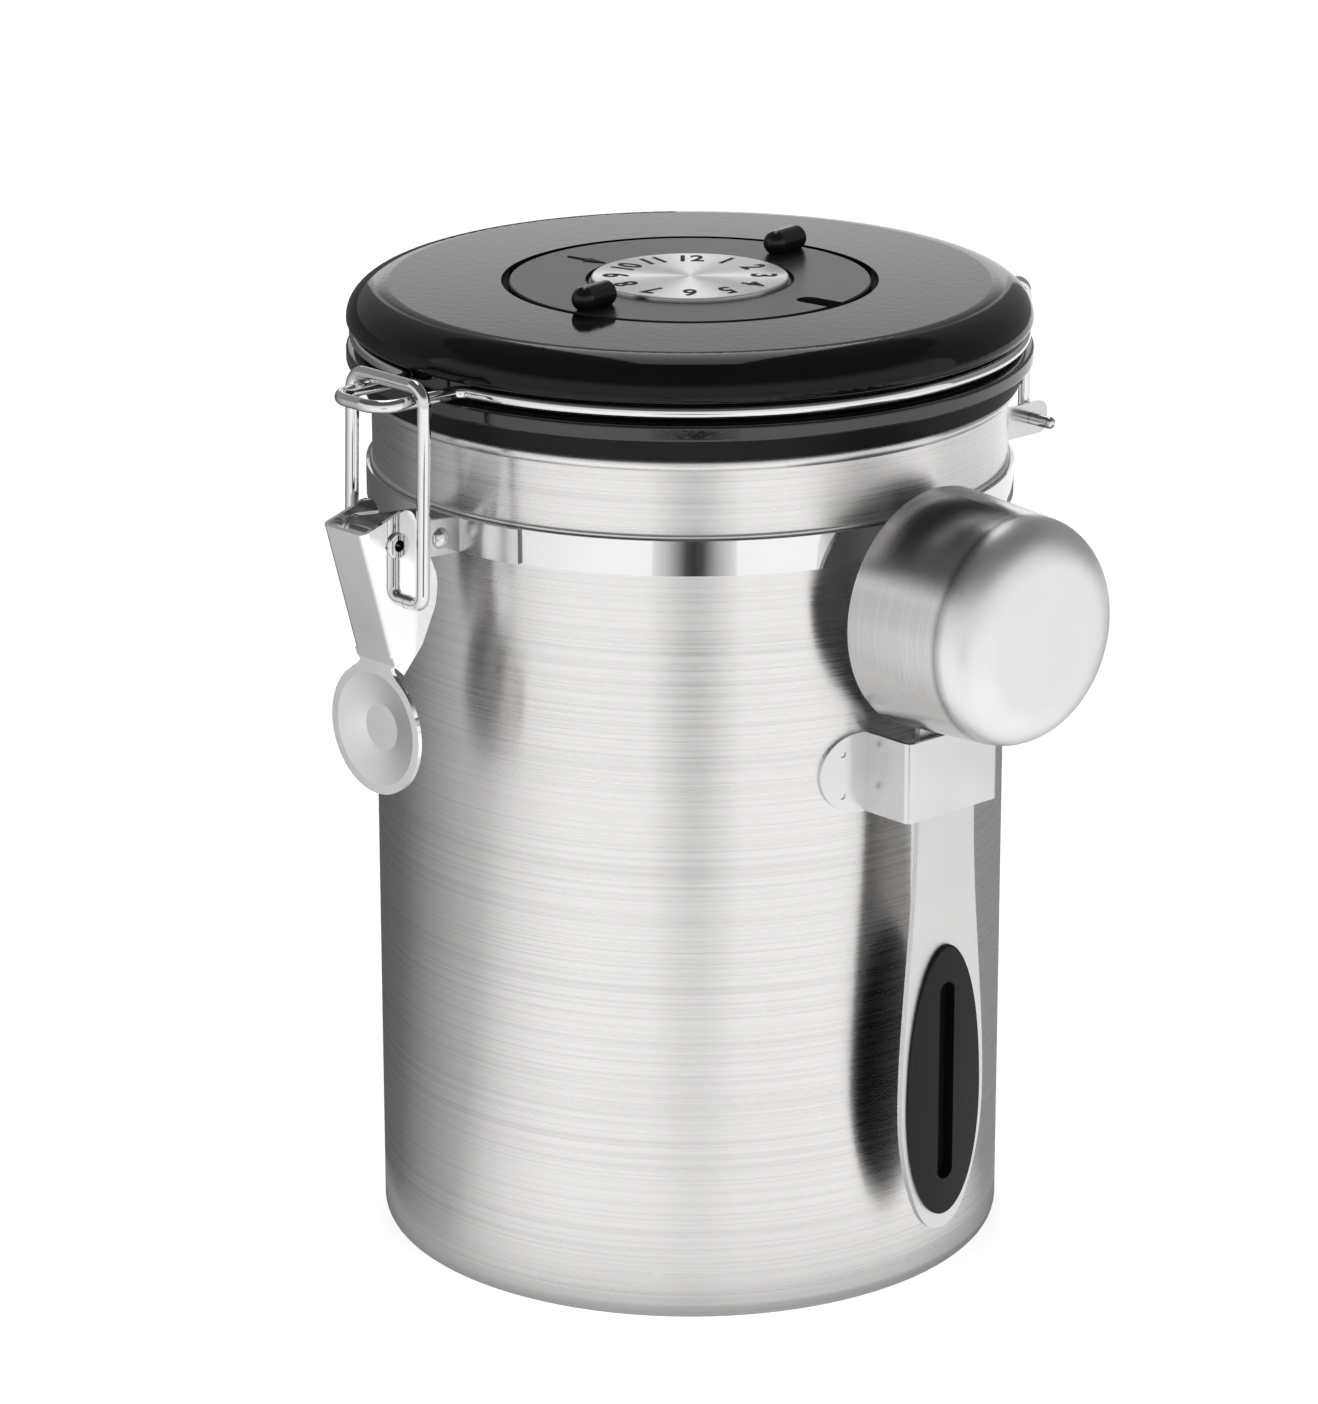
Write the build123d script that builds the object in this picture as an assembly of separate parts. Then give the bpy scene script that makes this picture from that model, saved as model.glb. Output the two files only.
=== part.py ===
from build123d import *

import os
from math import asin, cos, degrees, radians, sin, sqrt

# Coffee canister with a degassing valve, in millimetres, +Z up.
# The origin is the centre of the base. The latch faces -Y, the lid hinge +Y and the scoop +X.

# Can
CAN_RADIUS = 60.0
CAN_HEIGHT = 167.3
CAN_WALL = 0.6
RIM_BEAD_RADIUS = 1.15
BASE_CORNER = 3.0
FOOT_WIDTH = 10.0
FOOT_RISE = 1.0
FOOT_SLOPE = 2.5

# Polished band round the neck
BAND_DROP = 15.0
BAND_HEIGHT = 6.5
BAND_THICKNESS = 1.2

# Lid: gasket, base, groove for the hoop wire, cover
SEAL_GAP = 0.1
GASKET_HEIGHT = 4.0
GASKET_SETBACK = 0.8
GASKET_RIM_COVER = 0.9
LIP_CLEARANCE = 2.9
LIP_WALL = 2.0
LIP_DEPTH = 1.5
UNDERSIDE_RECESS = 3.0
BASE_PLATE = 2.0
FLANGE_OVERHANG = 4.6
FLANGE_HEIGHT = 2.8
FLANGE_EDGE_RADIUS = 0.6
FLANGE_SLOPE_RISE = 0.8
COVER_OVERHANG = 4.5
COVER_HEIGHT = 8.0
COVER_WALL = 2.0
COVER_EDGE_WIDTH = 8.0
COVER_LOWER_CORNER = 1.6
COVER_INNER_SLOPE = 7.0
GROOVE_DEPTH = 3.0
SPIGOT_HEIGHT = 2.5
SPIGOT_WALL = 2.0

# Hoop wire round the lid, with its tongue and hinge legs
HOOP_WIRE = 2.4
HOOP_SIDE_GAP = 0.1
HOOP_FACE_GAP = 0.3
HOOP_BEND = 3.0
TONGUE_HALF_WIDTH = 6.7
TONGUE_REACH = 21.7
TONGUE_CORNER = 4.5

# Hinge at the back
HINGE_OUT = 14.5
HINGE_LEG_HALF_SPAN = 16.0
HINGE_PIN_BEND = 1.5
HINGE_EAR_GAP = 0.4
HINGE_EAR_SHEET = 0.8
HINGE_EAR_REACH = 4.2
HINGE_EAR_CORNER = 2.2
HINGE_PLATE_HALF_ANGLE = 23.0
HINGE_PIN_PROUD = 4.6
RUNNING_CLEARANCE = 0.05

# Latch bracket, lever and bail
BRACKET_SHEET = 0.8
LATCH_PLATE_HALF_ANGLE = 17.0
LATCH_EAR_INSIDE = 4.1
LATCH_OUT = 17.3
LATCH_PIVOT_RISE = 4.6
LATCH_EAR_END_RADIUS = 3.6
TIE_RIVET_OUT_SHARE = 0.364
TIE_RIVET_RISE = 3.6
TIE_RIVET_RADIUS = 1.2
TIE_RIVET_HEAD_RADIUS = 2.0
TIE_RIVET_HEAD_HEIGHT = 1.3
PIVOT_RADIUS = 1.6
PIVOT_BORE_RADIUS = 1.1
PIVOT_HEAD_RADIUS = 2.4
PIVOT_HEAD_THICKNESS = 0.6
PIVOT_HEAD_GAP = 0.1
LEVER_SHEET = 0.8
LEVER_SIDE_GAP = 0.1
LEVER_TOP_OUT = 7.9
LEVER_TOP_RISE = 3.1
LEVER_HUMP_IN = 3.4
LEVER_HUMP_RISE = 6.6
LEVER_HUMP_RADIUS = 2.4
LEVER_CHEEK_IN = 9.5
LEVER_CHEEK_RADIUS = 7.0
LEVER_WEB_FOOT_OUT = 0.6
LEVER_LENGTH = 22.9
LEVER_CHEEK_SHARES = ((1.0, 0.34), (0.95, 0.55), (0.6, 0.86), (0.12, 1.08))
LEVER_FOLD_RADIUS = 1.4
LEVER_NECK_HALF_WIDTH = 4.6
LEVER_NECK_BEND = 1.6
TAB_NECK_ANGLE = 52.0
TAB_OUT = 1.1
TAB_DROP = 12.9
TAB_RADIUS = 12.25
TAB_DISH_RADIUS = 10.6
TAB_DISH_FLAT_RADIUS = 4.4
TAB_DISH_DEPTH = 1.6
BAIL_WIRE = 2.5
BAIL_SIDE_GAP = 0.85
BAIL_CORNER = 3.2
BAIL_HOOK_BEND = 2.2
BAIL_HOOK_IN = 2.3
BAIL_HOOK_DROP = 11.1
BAIL_LEAN = 1.1
BAIL_REST_GAP = 0.4
BAIL_END_PROUD = 0.7

# Date disc in the lid's top, with its dial and finger knobs
POCKET_RADIUS = 35.4
DISC_SIDE_GAP = 1.4
DISC_FLOOR_GAP = 0.4
DISC_THICKNESS = 2.0
DISC_EDGE_CHAMFER = 0.25
DISC_WELL_GAP = 1.1
DISC_WELL_DEPTH = 1.0
DISC_SLOT_WIDTH = 4.5
DISC_SLOT_LENGTH = 8.5
DISC_SLOT_ANGLE = 9.0
HUB_RADIUS = 8.0
HUB_FLANGE_MARGIN = 0.4
HUB_FLANGE_THICKNESS = 0.5
HUB_FLANGE_GAP = 0.1
HUB_HEAD_MARGIN = 1.4
HUB_HEAD_THICKNESS = 1.0
DIAL_INSET = 15.5
DIAL_THICKNESS = 1.0
DIAL_EDGE_RADIUS = 0.4
KNOB_RADIUS = 2.35
KNOB_LENGTH = 9.5
KNOB_TAIL_FILLET = 0.8
KNOB_SINK = 0.35
KNOB_INSET = 5.0
KNOB_ANGLE = 99.0
VENT_RADIUS = 1.5
VENT_INSET = 5.0
VENT_COUNT = 6

# Degassing valve in the lid's base
VALVE_BARREL_RADIUS = 12.0
VALVE_WALL = 1.4
VALVE_FLANGE_WIDTH = 3.5
VALVE_FLANGE_THICKNESS = 1.2
VALVE_BARREL_HEIGHT = 5.2
VALVE_BORE_WALL = 2.4
VALVE_SEAT_THICKNESS = 1.2
VALVE_SEAT_RISE = 0.2
VALVE_PORT_RADIUS = 1.1
VALVE_PORT_INSET = 4.6
VALVE_PORT_COUNT = 6
FLAP_SIDE_GAP = 1.0
FLAP_THICKNESS = 0.8
FLAP_LIFT = 0.6
GUARD_THICKNESS = 1.2
GUARD_PORT_RADIUS = 1.2
GUARD_PORT_INSET = 1.6
GUARD_PORT_COUNT = 8
FILTER_THICKNESS = 0.8
FILTER_SIDE_GAP = 0.1
FILTER_SEAT_GAP = 0.1
CAP_THICKNESS = 1.6
CAP_EDGE_RADIUS = 0.5
CAP_SPIGOT_WALL = 1.2
CAP_HOLE_RADIUS = 0.9
CAP_RING_SHARES = (0.425, 0.85)
CAP_RING_COUNT = 6

# Scoop holder on the can's side
HOLDER_SHEET = 0.8
HOLDER_SIDE_GAP = 0.4
HOLDER_BOTTOM = 98.3
HOLDER_HEIGHT = 15.2
HOLDER_FLANGE = 9.0
HOLDER_BEND = 1.4
SPOT_WELD_RADIUS = 0.7
SPOT_WELD_DEPTH = 0.3
SPOT_WELD_HALF_PITCH = 4.0

# Scoop
CUP_RIM_RADIUS = 22.4
CUP_TAPER = 1.7
CUP_DEPTH = 28.0
CUP_CORNER = 8.0
CUP_WALL = 0.8
CUP_LID_CLEARANCE = 0.8
CUP_REST_GAP = 0.3
HANDLE_SHEET = 1.2
HANDLE_RIM_SETBACK = 2.4
HANDLE_NECK_HALF_WIDTH = 7.2
HANDLE_HALF_WIDTH = 10.6
HANDLE_TIP = 15.2
HANDLE_WIDTH_SHARES = (0.86, 1.0, 0.72)
HANDLE_HEIGHT_SHARES = (0.62, 0.37, 0.1)
GRIP_SIDE_MARGIN = 1.1
GRIP_HALF_LENGTH = 26.8
GRIP_TIP_MARGIN = 3.0
GRIP_SLIDE_GAP = 0.2
GRIP_FRONT = 0.95
GRIP_BACK = 0.8
GRIP_EDGE = 0.5
GRIP_CROWN_RADIUS = 75.0
GRIP_WAIST_SHARE = 0.43
GRIP_SLOT_FLOOR = 0.5
GRIP_SLOT_WIDTH = 3.9
GRIP_SLOT_LENGTH = 39.2
GRIP_CORE_WALL = 1.5

# Every cut runs past the surface by this much
OVERRUN = 1.0

# Heights and radii worked out from the sizes above
rim_bead_z = CAN_HEIGHT - RIM_BEAD_RADIUS
rim_inner_radius = CAN_RADIUS - RIM_BEAD_RADIUS
rim_outer_radius = CAN_RADIUS + RIM_BEAD_RADIUS
foot_inner_radius = CAN_RADIUS - FOOT_WIDTH
band_radius = CAN_RADIUS + BAND_THICKNESS
band_top = CAN_HEIGHT - BAND_DROP
band_bottom = band_top - BAND_HEIGHT
band_middle = band_top - BAND_HEIGHT / 2

flange_radius = CAN_RADIUS + FLANGE_OVERHANG
cover_radius = CAN_RADIUS + COVER_OVERHANG
groove_radius = cover_radius - GROOVE_DEPTH
lip_radius = CAN_RADIUS - CAN_WALL - LIP_CLEARANCE
gasket_bottom = CAN_HEIGHT + SEAL_GAP
gasket_top = gasket_bottom + GASKET_HEIGHT
flange_top = gasket_top + FLANGE_HEIGHT
groove_bottom = flange_top + FLANGE_SLOPE_RISE
hoop_radius = HOOP_WIRE / 2
hoop_z = groove_bottom + HOOP_FACE_GAP + hoop_radius
hoop_ring_radius = groove_radius + HOOP_SIDE_GAP + hoop_radius
cover_bottom = hoop_z + hoop_radius + HOOP_FACE_GAP
cover_top = cover_bottom + COVER_HEIGHT
lip_bottom = CAN_HEIGHT - LIP_DEPTH
plate_bottom = lip_bottom + UNDERSIDE_RECESS
plate_top = plate_bottom + BASE_PLATE
disc_radius = POCKET_RADIUS - DISC_SIDE_GAP
disc_bottom = cover_top - DISC_THICKNESS
pocket_floor = disc_bottom - DISC_FLOOR_GAP
dial_radius = disc_radius - DIAL_INSET
hub_flange_radius = dial_radius + HUB_FLANGE_MARGIN
disc_well_floor = cover_top - DISC_WELL_DEPTH
hub_flange_bottom = disc_well_floor + HUB_FLANGE_GAP
dial_bottom = hub_flange_bottom + HUB_FLANGE_THICKNESS

hinge_y = CAN_RADIUS + HINGE_OUT
hinge_z = band_middle
latch_y = CAN_RADIUS + LATCH_OUT
latch_z = band_bottom + LATCH_PIVOT_RISE
hook_y = latch_y - BAIL_HOOK_IN
hook_z = latch_z - BAIL_HOOK_DROP
bail_radius = BAIL_WIRE / 2
bail_top_z = hoop_z + hoop_radius + bail_radius + BAIL_REST_GAP
latch_ear_outside = LATCH_EAR_INSIDE + BRACKET_SHEET
lever_inside = latch_ear_outside + LEVER_SIDE_GAP
lever_outside = lever_inside + LEVER_SHEET
tie_rivet_y = CAN_RADIUS + LATCH_OUT * TIE_RIVET_OUT_SHARE
tie_rivet_z = band_bottom + TIE_RIVET_RISE
bail_half_width = TONGUE_HALF_WIDTH + hoop_radius + BAIL_SIDE_GAP + bail_radius

seat_top = plate_top + VALVE_FLANGE_THICKNESS + VALVE_SEAT_RISE
seat_bottom = seat_top - VALVE_SEAT_THICKNESS
filter_radius = VALVE_BARREL_RADIUS - VALVE_WALL
valve_flange_radius = VALVE_BARREL_RADIUS + VALVE_FLANGE_WIDTH
valve_bore_radius = VALVE_BARREL_RADIUS - VALVE_BORE_WALL

cup_rim_x = flange_radius + CUP_LID_CLEARANCE
cup_base_radius = CUP_RIM_RADIUS - CUP_TAPER
handle_back_x = cup_rim_x + HANDLE_RIM_SETBACK
handle_front_x = handle_back_x + HANDLE_SHEET
holder_inside_x = handle_front_x + GRIP_FRONT + GRIP_SLIDE_GAP
holder_face_x = holder_inside_x + HOLDER_SHEET
holder_inner_half = HANDLE_HALF_WIDTH + HOLDER_SIDE_GAP
holder_outer_half = holder_inner_half + HOLDER_SHEET
holder_top = HOLDER_BOTTOM + HOLDER_HEIGHT
cup_axis_z = holder_top + CUP_REST_GAP + CUP_RIM_RADIUS
grip_z = HANDLE_TIP + GRIP_TIP_MARGIN + GRIP_HALF_LENGTH


def turned(face):
    """Solid of revolution about +Z from a face drawn as radius and height."""
    return revolve(Plane.XZ * face, Axis.Z)


def polygon(*points):
    """Face with straight sides."""
    return make_face(Polyline(*points, close=True))


def rounded_polygon(points, radii):
    """Face with straight sides and one corner radius for each point."""
    return make_face(FilletPolyline(*points, radius=radii, close=True))


def ring(outer, inner, bottom, height):
    """Flat or tall ring about +Z."""
    return turned(polygon((inner, bottom), (outer, bottom), (outer, bottom + height), (inner, bottom + height)))


def disc(radius, bottom, height):
    """Plain disc about +Z."""
    return Pos(0, 0, bottom) * Cylinder(radius, height, align=(Align.CENTER, Align.CENTER, Align.MIN))


def cross_rod(radius, y, z, half_length):
    """Rod along X, through the given point of the YZ plane."""
    return Pos(0, y, z) * Rot(0, 90, 0) * Cylinder(radius, 2 * half_length)


def side_plate(face, x_inside, thickness):
    """Plate standing in the YZ plane, from a face drawn as Y and Z."""
    return extrude(Plane.YZ.offset(x_inside) * face, thickness)


def mirrored_pair(shape):
    """The shape and its mirror image across the YZ plane."""
    return shape + mirror(shape, about=Plane.YZ)


def wedge(reach, half_angle, middle_angle, bottom, height):
    """Slice of a round thing about +Z, between two angles."""
    side = reach / cos(radians(half_angle))
    start = radians(middle_angle - half_angle)
    end = radians(middle_angle + half_angle)
    face = polygon((0, 0), (side * cos(start), side * sin(start)), (side * cos(end), side * sin(end)))
    return extrude(Plane.XY.offset(bottom) * face, height)


def arc_about(centre, start, end):
    """Arc of under half a turn about a centre."""
    centre, start, end = Vector(*centre), Vector(*start), Vector(*end)
    middle = (start - centre + end - centre).normalized() * (start - centre).length
    return ThreePointArc(start, centre + middle, end)


def wire_rod(path, radius):
    """Round wire bent along a path."""
    return sweep(Plane(origin=path @ 0, z_dir=path % 0) * Circle(radius), path=path)


def ring_of_holes(count, place, radius, bottom, height):
    """Round holes spaced evenly on a circle about +Z."""
    return [
        Rot(0, 0, 360 * index / count) * Pos(place, 0, 0) * disc(radius, bottom, height)
        for index in range(count)
    ]


def can_body():
    """Drawn can with a raised base centre and a rolled rim."""
    inner_radius = CAN_RADIUS - CAN_WALL
    slope_end = foot_inner_radius - FOOT_SLOPE
    shell = rounded_polygon(
        (
            (0, FOOT_RISE),
            (slope_end, FOOT_RISE),
            (foot_inner_radius, 0),
            (CAN_RADIUS, 0),
            (CAN_RADIUS, rim_bead_z),
            (inner_radius, rim_bead_z),
            (inner_radius, CAN_WALL),
            (foot_inner_radius, CAN_WALL),
            (slope_end, FOOT_RISE + CAN_WALL),
            (0, FOOT_RISE + CAN_WALL),
        ),
        (0, 0, 0, BASE_CORNER, 0, 0, BASE_CORNER - CAN_WALL, 0, 0, 0),
    )
    return turned(shell) + Pos(0, 0, rim_bead_z) * Torus(CAN_RADIUS, RIM_BEAD_RADIUS)


def neck_band():
    """Polished band pressed round the can, which carries the latch and the hinge."""
    return ring(band_radius, CAN_RADIUS, band_bottom, BAND_HEIGHT)


def bracket_plate(half_angle, middle_angle):
    """Curved plate that lies on the band."""
    plate = ring(band_radius + BRACKET_SHEET, band_radius, band_bottom, BAND_HEIGHT)
    reach = band_radius + BRACKET_SHEET + OVERRUN
    return plate & wedge(reach, half_angle, middle_angle, band_bottom, BAND_HEIGHT)


def latch_bracket():
    """Curved plate with two ears that hold the lever's pivot."""
    ear_side = Circle(LATCH_EAR_END_RADIUS)
    arm = polygon(
        (-CAN_RADIUS, band_bottom),
        (-latch_y, latch_z - LATCH_EAR_END_RADIUS),
        (-latch_y, latch_z + LATCH_EAR_END_RADIUS),
        (-CAN_RADIUS, band_top),
    )
    ear_face = arm + Pos(-latch_y, latch_z) * ear_side
    ears = mirrored_pair(side_plate(ear_face, LATCH_EAR_INSIDE, BRACKET_SHEET))
    ears -= disc(band_radius, band_bottom - OVERRUN, BAND_HEIGHT + 2 * OVERRUN)
    ears -= cross_rod(PIVOT_RADIUS, -latch_y, latch_z, latch_ear_outside + OVERRUN)
    ears -= cross_rod(TIE_RIVET_RADIUS, -tie_rivet_y, tie_rivet_z, latch_ear_outside + OVERRUN)
    return bracket_plate(LATCH_PLATE_HALF_ANGLE, -90) + ears


def bracket_tie_rivet():
    """Dome-headed rivet that ties the two latch ears together."""
    shank = Cylinder(TIE_RIVET_RADIUS, 2 * latch_ear_outside)
    dome_radius = (TIE_RIVET_HEAD_RADIUS**2 + TIE_RIVET_HEAD_HEIGHT**2) / (2 * TIE_RIVET_HEAD_HEIGHT)
    dome_centre = latch_ear_outside + TIE_RIVET_HEAD_HEIGHT - dome_radius
    dome = Pos(0, 0, dome_centre) * Sphere(dome_radius)
    dome &= disc(TIE_RIVET_HEAD_RADIUS, latch_ear_outside, TIE_RIVET_HEAD_HEIGHT)
    rivet = shank + dome + mirror(dome, about=Plane.XY)
    return Pos(0, -tie_rivet_y, tie_rivet_z) * Rot(0, 90, 0) * rivet


def lever_pivot_rivet():
    """Hollow rivet through the ears and the lever's cheeks."""
    head_start = lever_outside + PIVOT_HEAD_GAP
    head_end = head_start + PIVOT_HEAD_THICKNESS
    head = disc(PIVOT_HEAD_RADIUS, head_start, PIVOT_HEAD_THICKNESS)
    head = fillet(head.edges().sort_by(Axis.Z)[-1], PIVOT_HEAD_THICKNESS / 2)
    rivet = Cylinder(PIVOT_RADIUS, 2 * head_end) + head + mirror(head, about=Plane.XY)
    rivet -= Cylinder(PIVOT_BORE_RADIUS, 2 * head_end + OVERRUN)
    return Pos(0, -latch_y, latch_z) * Rot(0, 90, 0) * rivet


def hinge_bracket():
    """Curved plate with two ears that hold the ends of the hoop wire."""
    ear_end = hinge_y + HINGE_EAR_REACH
    ear_face = rounded_polygon(
        ((CAN_RADIUS * cos(radians(HINGE_PLATE_HALF_ANGLE)), band_bottom), (ear_end, band_bottom),
         (ear_end, band_top), (CAN_RADIUS * cos(radians(HINGE_PLATE_HALF_ANGLE)), band_top)),
        (0, HINGE_EAR_CORNER, HINGE_EAR_CORNER, 0),
    )
    ear_inside = HINGE_LEG_HALF_SPAN + hoop_radius + HINGE_EAR_GAP
    ears = mirrored_pair(side_plate(ear_face, ear_inside, HINGE_EAR_SHEET))
    ears -= disc(band_radius, band_bottom - OVERRUN, BAND_HEIGHT + 2 * OVERRUN)
    hole_half_length = ear_inside + HINGE_EAR_SHEET + OVERRUN
    ears -= cross_rod(hoop_radius + RUNNING_CLEARANCE, hinge_y, hinge_z, hole_half_length)
    return bracket_plate(HINGE_PLATE_HALF_ANGLE, 90) + ears


def lid_base():
    """Moulded base of the lid: lip, flange, wire groove and the spigot that plugs the cover."""
    hole_radius = VALVE_BARREL_RADIUS
    lip_inner = lip_radius - LIP_WALL
    step_radius = lip_inner - BASE_PLATE
    outer = rounded_polygon(
        (
            (hole_radius, plate_bottom),
            (lip_inner, plate_bottom),
            (lip_inner, lip_bottom),
            (lip_radius, lip_bottom),
            (lip_radius, gasket_top),
            (flange_radius, gasket_top),
            (flange_radius, flange_top),
            (groove_radius, groove_bottom),
            (groove_radius, cover_bottom + SPIGOT_HEIGHT),
            (groove_radius - SPIGOT_WALL, cover_bottom + SPIGOT_HEIGHT),
            (groove_radius - SPIGOT_WALL, gasket_top + BASE_PLATE),
            (lip_inner, gasket_top + BASE_PLATE),
            (step_radius, plate_top),
            (hole_radius, plate_top),
        ),
        (0, 0, 0, 0, 0, FLANGE_EDGE_RADIUS, FLANGE_EDGE_RADIUS, 0, 0, 0, 0, 0, 0, 0),
    )
    return turned(outer)


def lid_gasket():
    """Soft ring between the lid's flange and the can's rim."""
    return turned(
        polygon(
            (lip_radius, gasket_bottom),
            (rim_outer_radius + GASKET_RIM_COVER, gasket_bottom),
            (flange_radius - GASKET_SETBACK, gasket_top),
            (lip_radius, gasket_top),
        )
    )


def lid_cover():
    """Moulded cover with a round shoulder and a pocket for the date disc."""
    shoulder_z = cover_bottom + COVER_LOWER_CORNER
    shoulder_radius = cover_radius - COVER_EDGE_WIDTH
    corner_radius = cover_radius - COVER_LOWER_CORNER
    pocket_wall = POCKET_RADIUS + COVER_WALL
    inner_top = cover_top - COVER_WALL
    lower = arc_about(
        (corner_radius, shoulder_z), (corner_radius, cover_bottom), (cover_radius, shoulder_z)
    )
    shoulder = EllipticalCenterArc(
        (shoulder_radius, shoulder_z), COVER_EDGE_WIDTH, cover_top - shoulder_z, arc_size=90
    )
    rest = Polyline(
        (shoulder_radius, cover_top),
        (POCKET_RADIUS, cover_top),
        (POCKET_RADIUS, pocket_floor),
        (HUB_RADIUS, pocket_floor),
        (HUB_RADIUS, pocket_floor - COVER_WALL),
        (pocket_wall, pocket_floor - COVER_WALL),
        (pocket_wall, inner_top),
        (groove_radius - COVER_INNER_SLOPE, inner_top),
        (groove_radius, cover_bottom + SPIGOT_HEIGHT),
        (groove_radius, cover_bottom),
        (corner_radius, cover_bottom),
    )
    cover = turned(make_face([lower, shoulder] + rest.edges()))
    vents = ring_of_holes(
        VENT_COUNT, disc_radius - VENT_INSET, VENT_RADIUS, pocket_floor - COVER_WALL - OVERRUN,
        COVER_WALL + 2 * OVERRUN,
    )
    return cover - vents


def hoop_path():
    """Centre line of the hoop: pin, leg, ring, tongue, ring, leg, pin."""
    pin_end = HINGE_LEG_HALF_SPAN + hoop_radius + HINGE_EAR_GAP + HINGE_EAR_SHEET + HINGE_PIN_PROUD

    def bend_onto_ring(half_span, side):
        """Centre and ends of the bend between the ring and a straight leg along Y."""
        centre_x = half_span + HOOP_BEND
        centre_y = side * sqrt((hoop_ring_radius + HOOP_BEND) ** 2 - centre_x**2)
        scale = hoop_ring_radius / (hoop_ring_radius + HOOP_BEND)
        centre = (centre_x, centre_y, hoop_z)
        on_ring = (centre_x * scale, centre_y * scale, hoop_z)
        on_leg = (half_span, centre_y, hoop_z)
        return centre, on_ring, on_leg

    back_centre, back_ring, back_leg = bend_onto_ring(HINGE_LEG_HALF_SPAN, 1)
    front_centre, front_ring, front_leg = bend_onto_ring(TONGUE_HALF_WIDTH, -1)
    tongue_y = -(CAN_RADIUS + TONGUE_REACH)
    leg = FilletPolyline(
        (pin_end, hinge_y, hinge_z),
        (HINGE_LEG_HALF_SPAN, hinge_y, hinge_z),
        (HINGE_LEG_HALF_SPAN, hinge_y, hoop_z),
        back_leg,
        radius=(HINGE_PIN_BEND, HOOP_BEND),
    )
    half = leg.edges() + [
        arc_about(back_centre, back_leg, back_ring),
        arc_about((0, 0, hoop_z), back_ring, front_ring),
        arc_about(front_centre, front_ring, front_leg),
    ]
    tongue = FilletPolyline(
        front_leg,
        (TONGUE_HALF_WIDTH, tongue_y, hoop_z),
        (-TONGUE_HALF_WIDTH, tongue_y, hoop_z),
        (-front_leg[0], front_leg[1], hoop_z),
        radius=TONGUE_CORNER,
    )
    other_half = [edge.mirror(Plane.YZ) for edge in half]
    return Wire(half + tongue.edges() + other_half)


def wire_hoop():
    """Sprung wire round the lid, which hinges it at the back and takes the bail at the front."""
    path = hoop_path()
    pin_end = Pos(*(path @ 0)) * Sphere(hoop_radius)
    return wire_rod(path, hoop_radius) + mirrored_pair(pin_end)


def dial_hub():
    """Fixed hub that the date disc turns on, staked under the pocket's floor."""
    head_top = pocket_floor - COVER_WALL
    return turned(
        polygon(
            (0, head_top - HUB_HEAD_THICKNESS),
            (HUB_RADIUS + HUB_HEAD_MARGIN, head_top - HUB_HEAD_THICKNESS),
            (HUB_RADIUS + HUB_HEAD_MARGIN, head_top),
            (HUB_RADIUS, head_top),
            (HUB_RADIUS, hub_flange_bottom),
            (hub_flange_radius, hub_flange_bottom),
            (hub_flange_radius, dial_bottom),
            (0, dial_bottom),
        )
    )


def month_dial():
    """Spun steel plate on the hub."""
    plate = disc(dial_radius, dial_bottom, DIAL_THICKNESS)
    return fillet(plate.edges().sort_by(Axis.Z)[-1], DIAL_EDGE_RADIUS)


def date_disc():
    """Turning disc with a well for the dial and a vent slot at its edge."""
    bore_radius = HUB_RADIUS + RUNNING_CLEARANCE
    well_radius = dial_radius + DISC_WELL_GAP
    plate = turned(
        polygon(
            (bore_radius, disc_bottom),
            (disc_radius, disc_bottom),
            (disc_radius, cover_top),
            (well_radius, cover_top),
            (well_radius, disc_well_floor),
            (bore_radius, disc_well_floor),
        )
    )
    top_edges = plate.edges().group_by(Axis.Z)[-1]
    plate = chamfer(top_edges.sort_by(SortBy.RADIUS)[-1], DISC_EDGE_CHAMFER)
    slot_centre = disc_radius - DISC_SLOT_LENGTH + DISC_SLOT_WIDTH / 2
    slot_face = Pos(slot_centre, 0) * Circle(DISC_SLOT_WIDTH / 2)
    slot_face += polygon(
        (slot_centre, -DISC_SLOT_WIDTH / 2),
        (disc_radius + OVERRUN, -DISC_SLOT_WIDTH / 2),
        (disc_radius + OVERRUN, DISC_SLOT_WIDTH / 2),
        (slot_centre, DISC_SLOT_WIDTH / 2),
    )
    slot = extrude(Plane.XY.offset(disc_bottom - OVERRUN) * slot_face, DISC_THICKNESS + 2 * OVERRUN)
    return plate - Rot(0, 0, DISC_SLOT_ANGLE) * slot


def finger_knob(angle, nose_sign):
    """Bullet-shaped knob lying on the disc along a radius, with its nose in or out."""
    barrel_length = KNOB_LENGTH - KNOB_RADIUS
    barrel = Cylinder(KNOB_RADIUS, barrel_length)
    barrel = fillet(barrel.edges().sort_by(Axis.Z)[0], KNOB_TAIL_FILLET)
    bullet = barrel + Pos(0, 0, barrel_length / 2) * Sphere(KNOB_RADIUS)
    bullet = Pos(-nose_sign * KNOB_RADIUS / 2, 0, KNOB_RADIUS - KNOB_SINK) * Rot(0, nose_sign * 90, 0) * bullet
    foot_cut = Box(2 * KNOB_LENGTH, 2 * KNOB_LENGTH, KNOB_LENGTH, align=(Align.CENTER, Align.CENTER, Align.MAX))
    return Rot(0, 0, angle) * Pos(disc_radius - KNOB_INSET, 0, cover_top) * (bullet - foot_cut)


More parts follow.
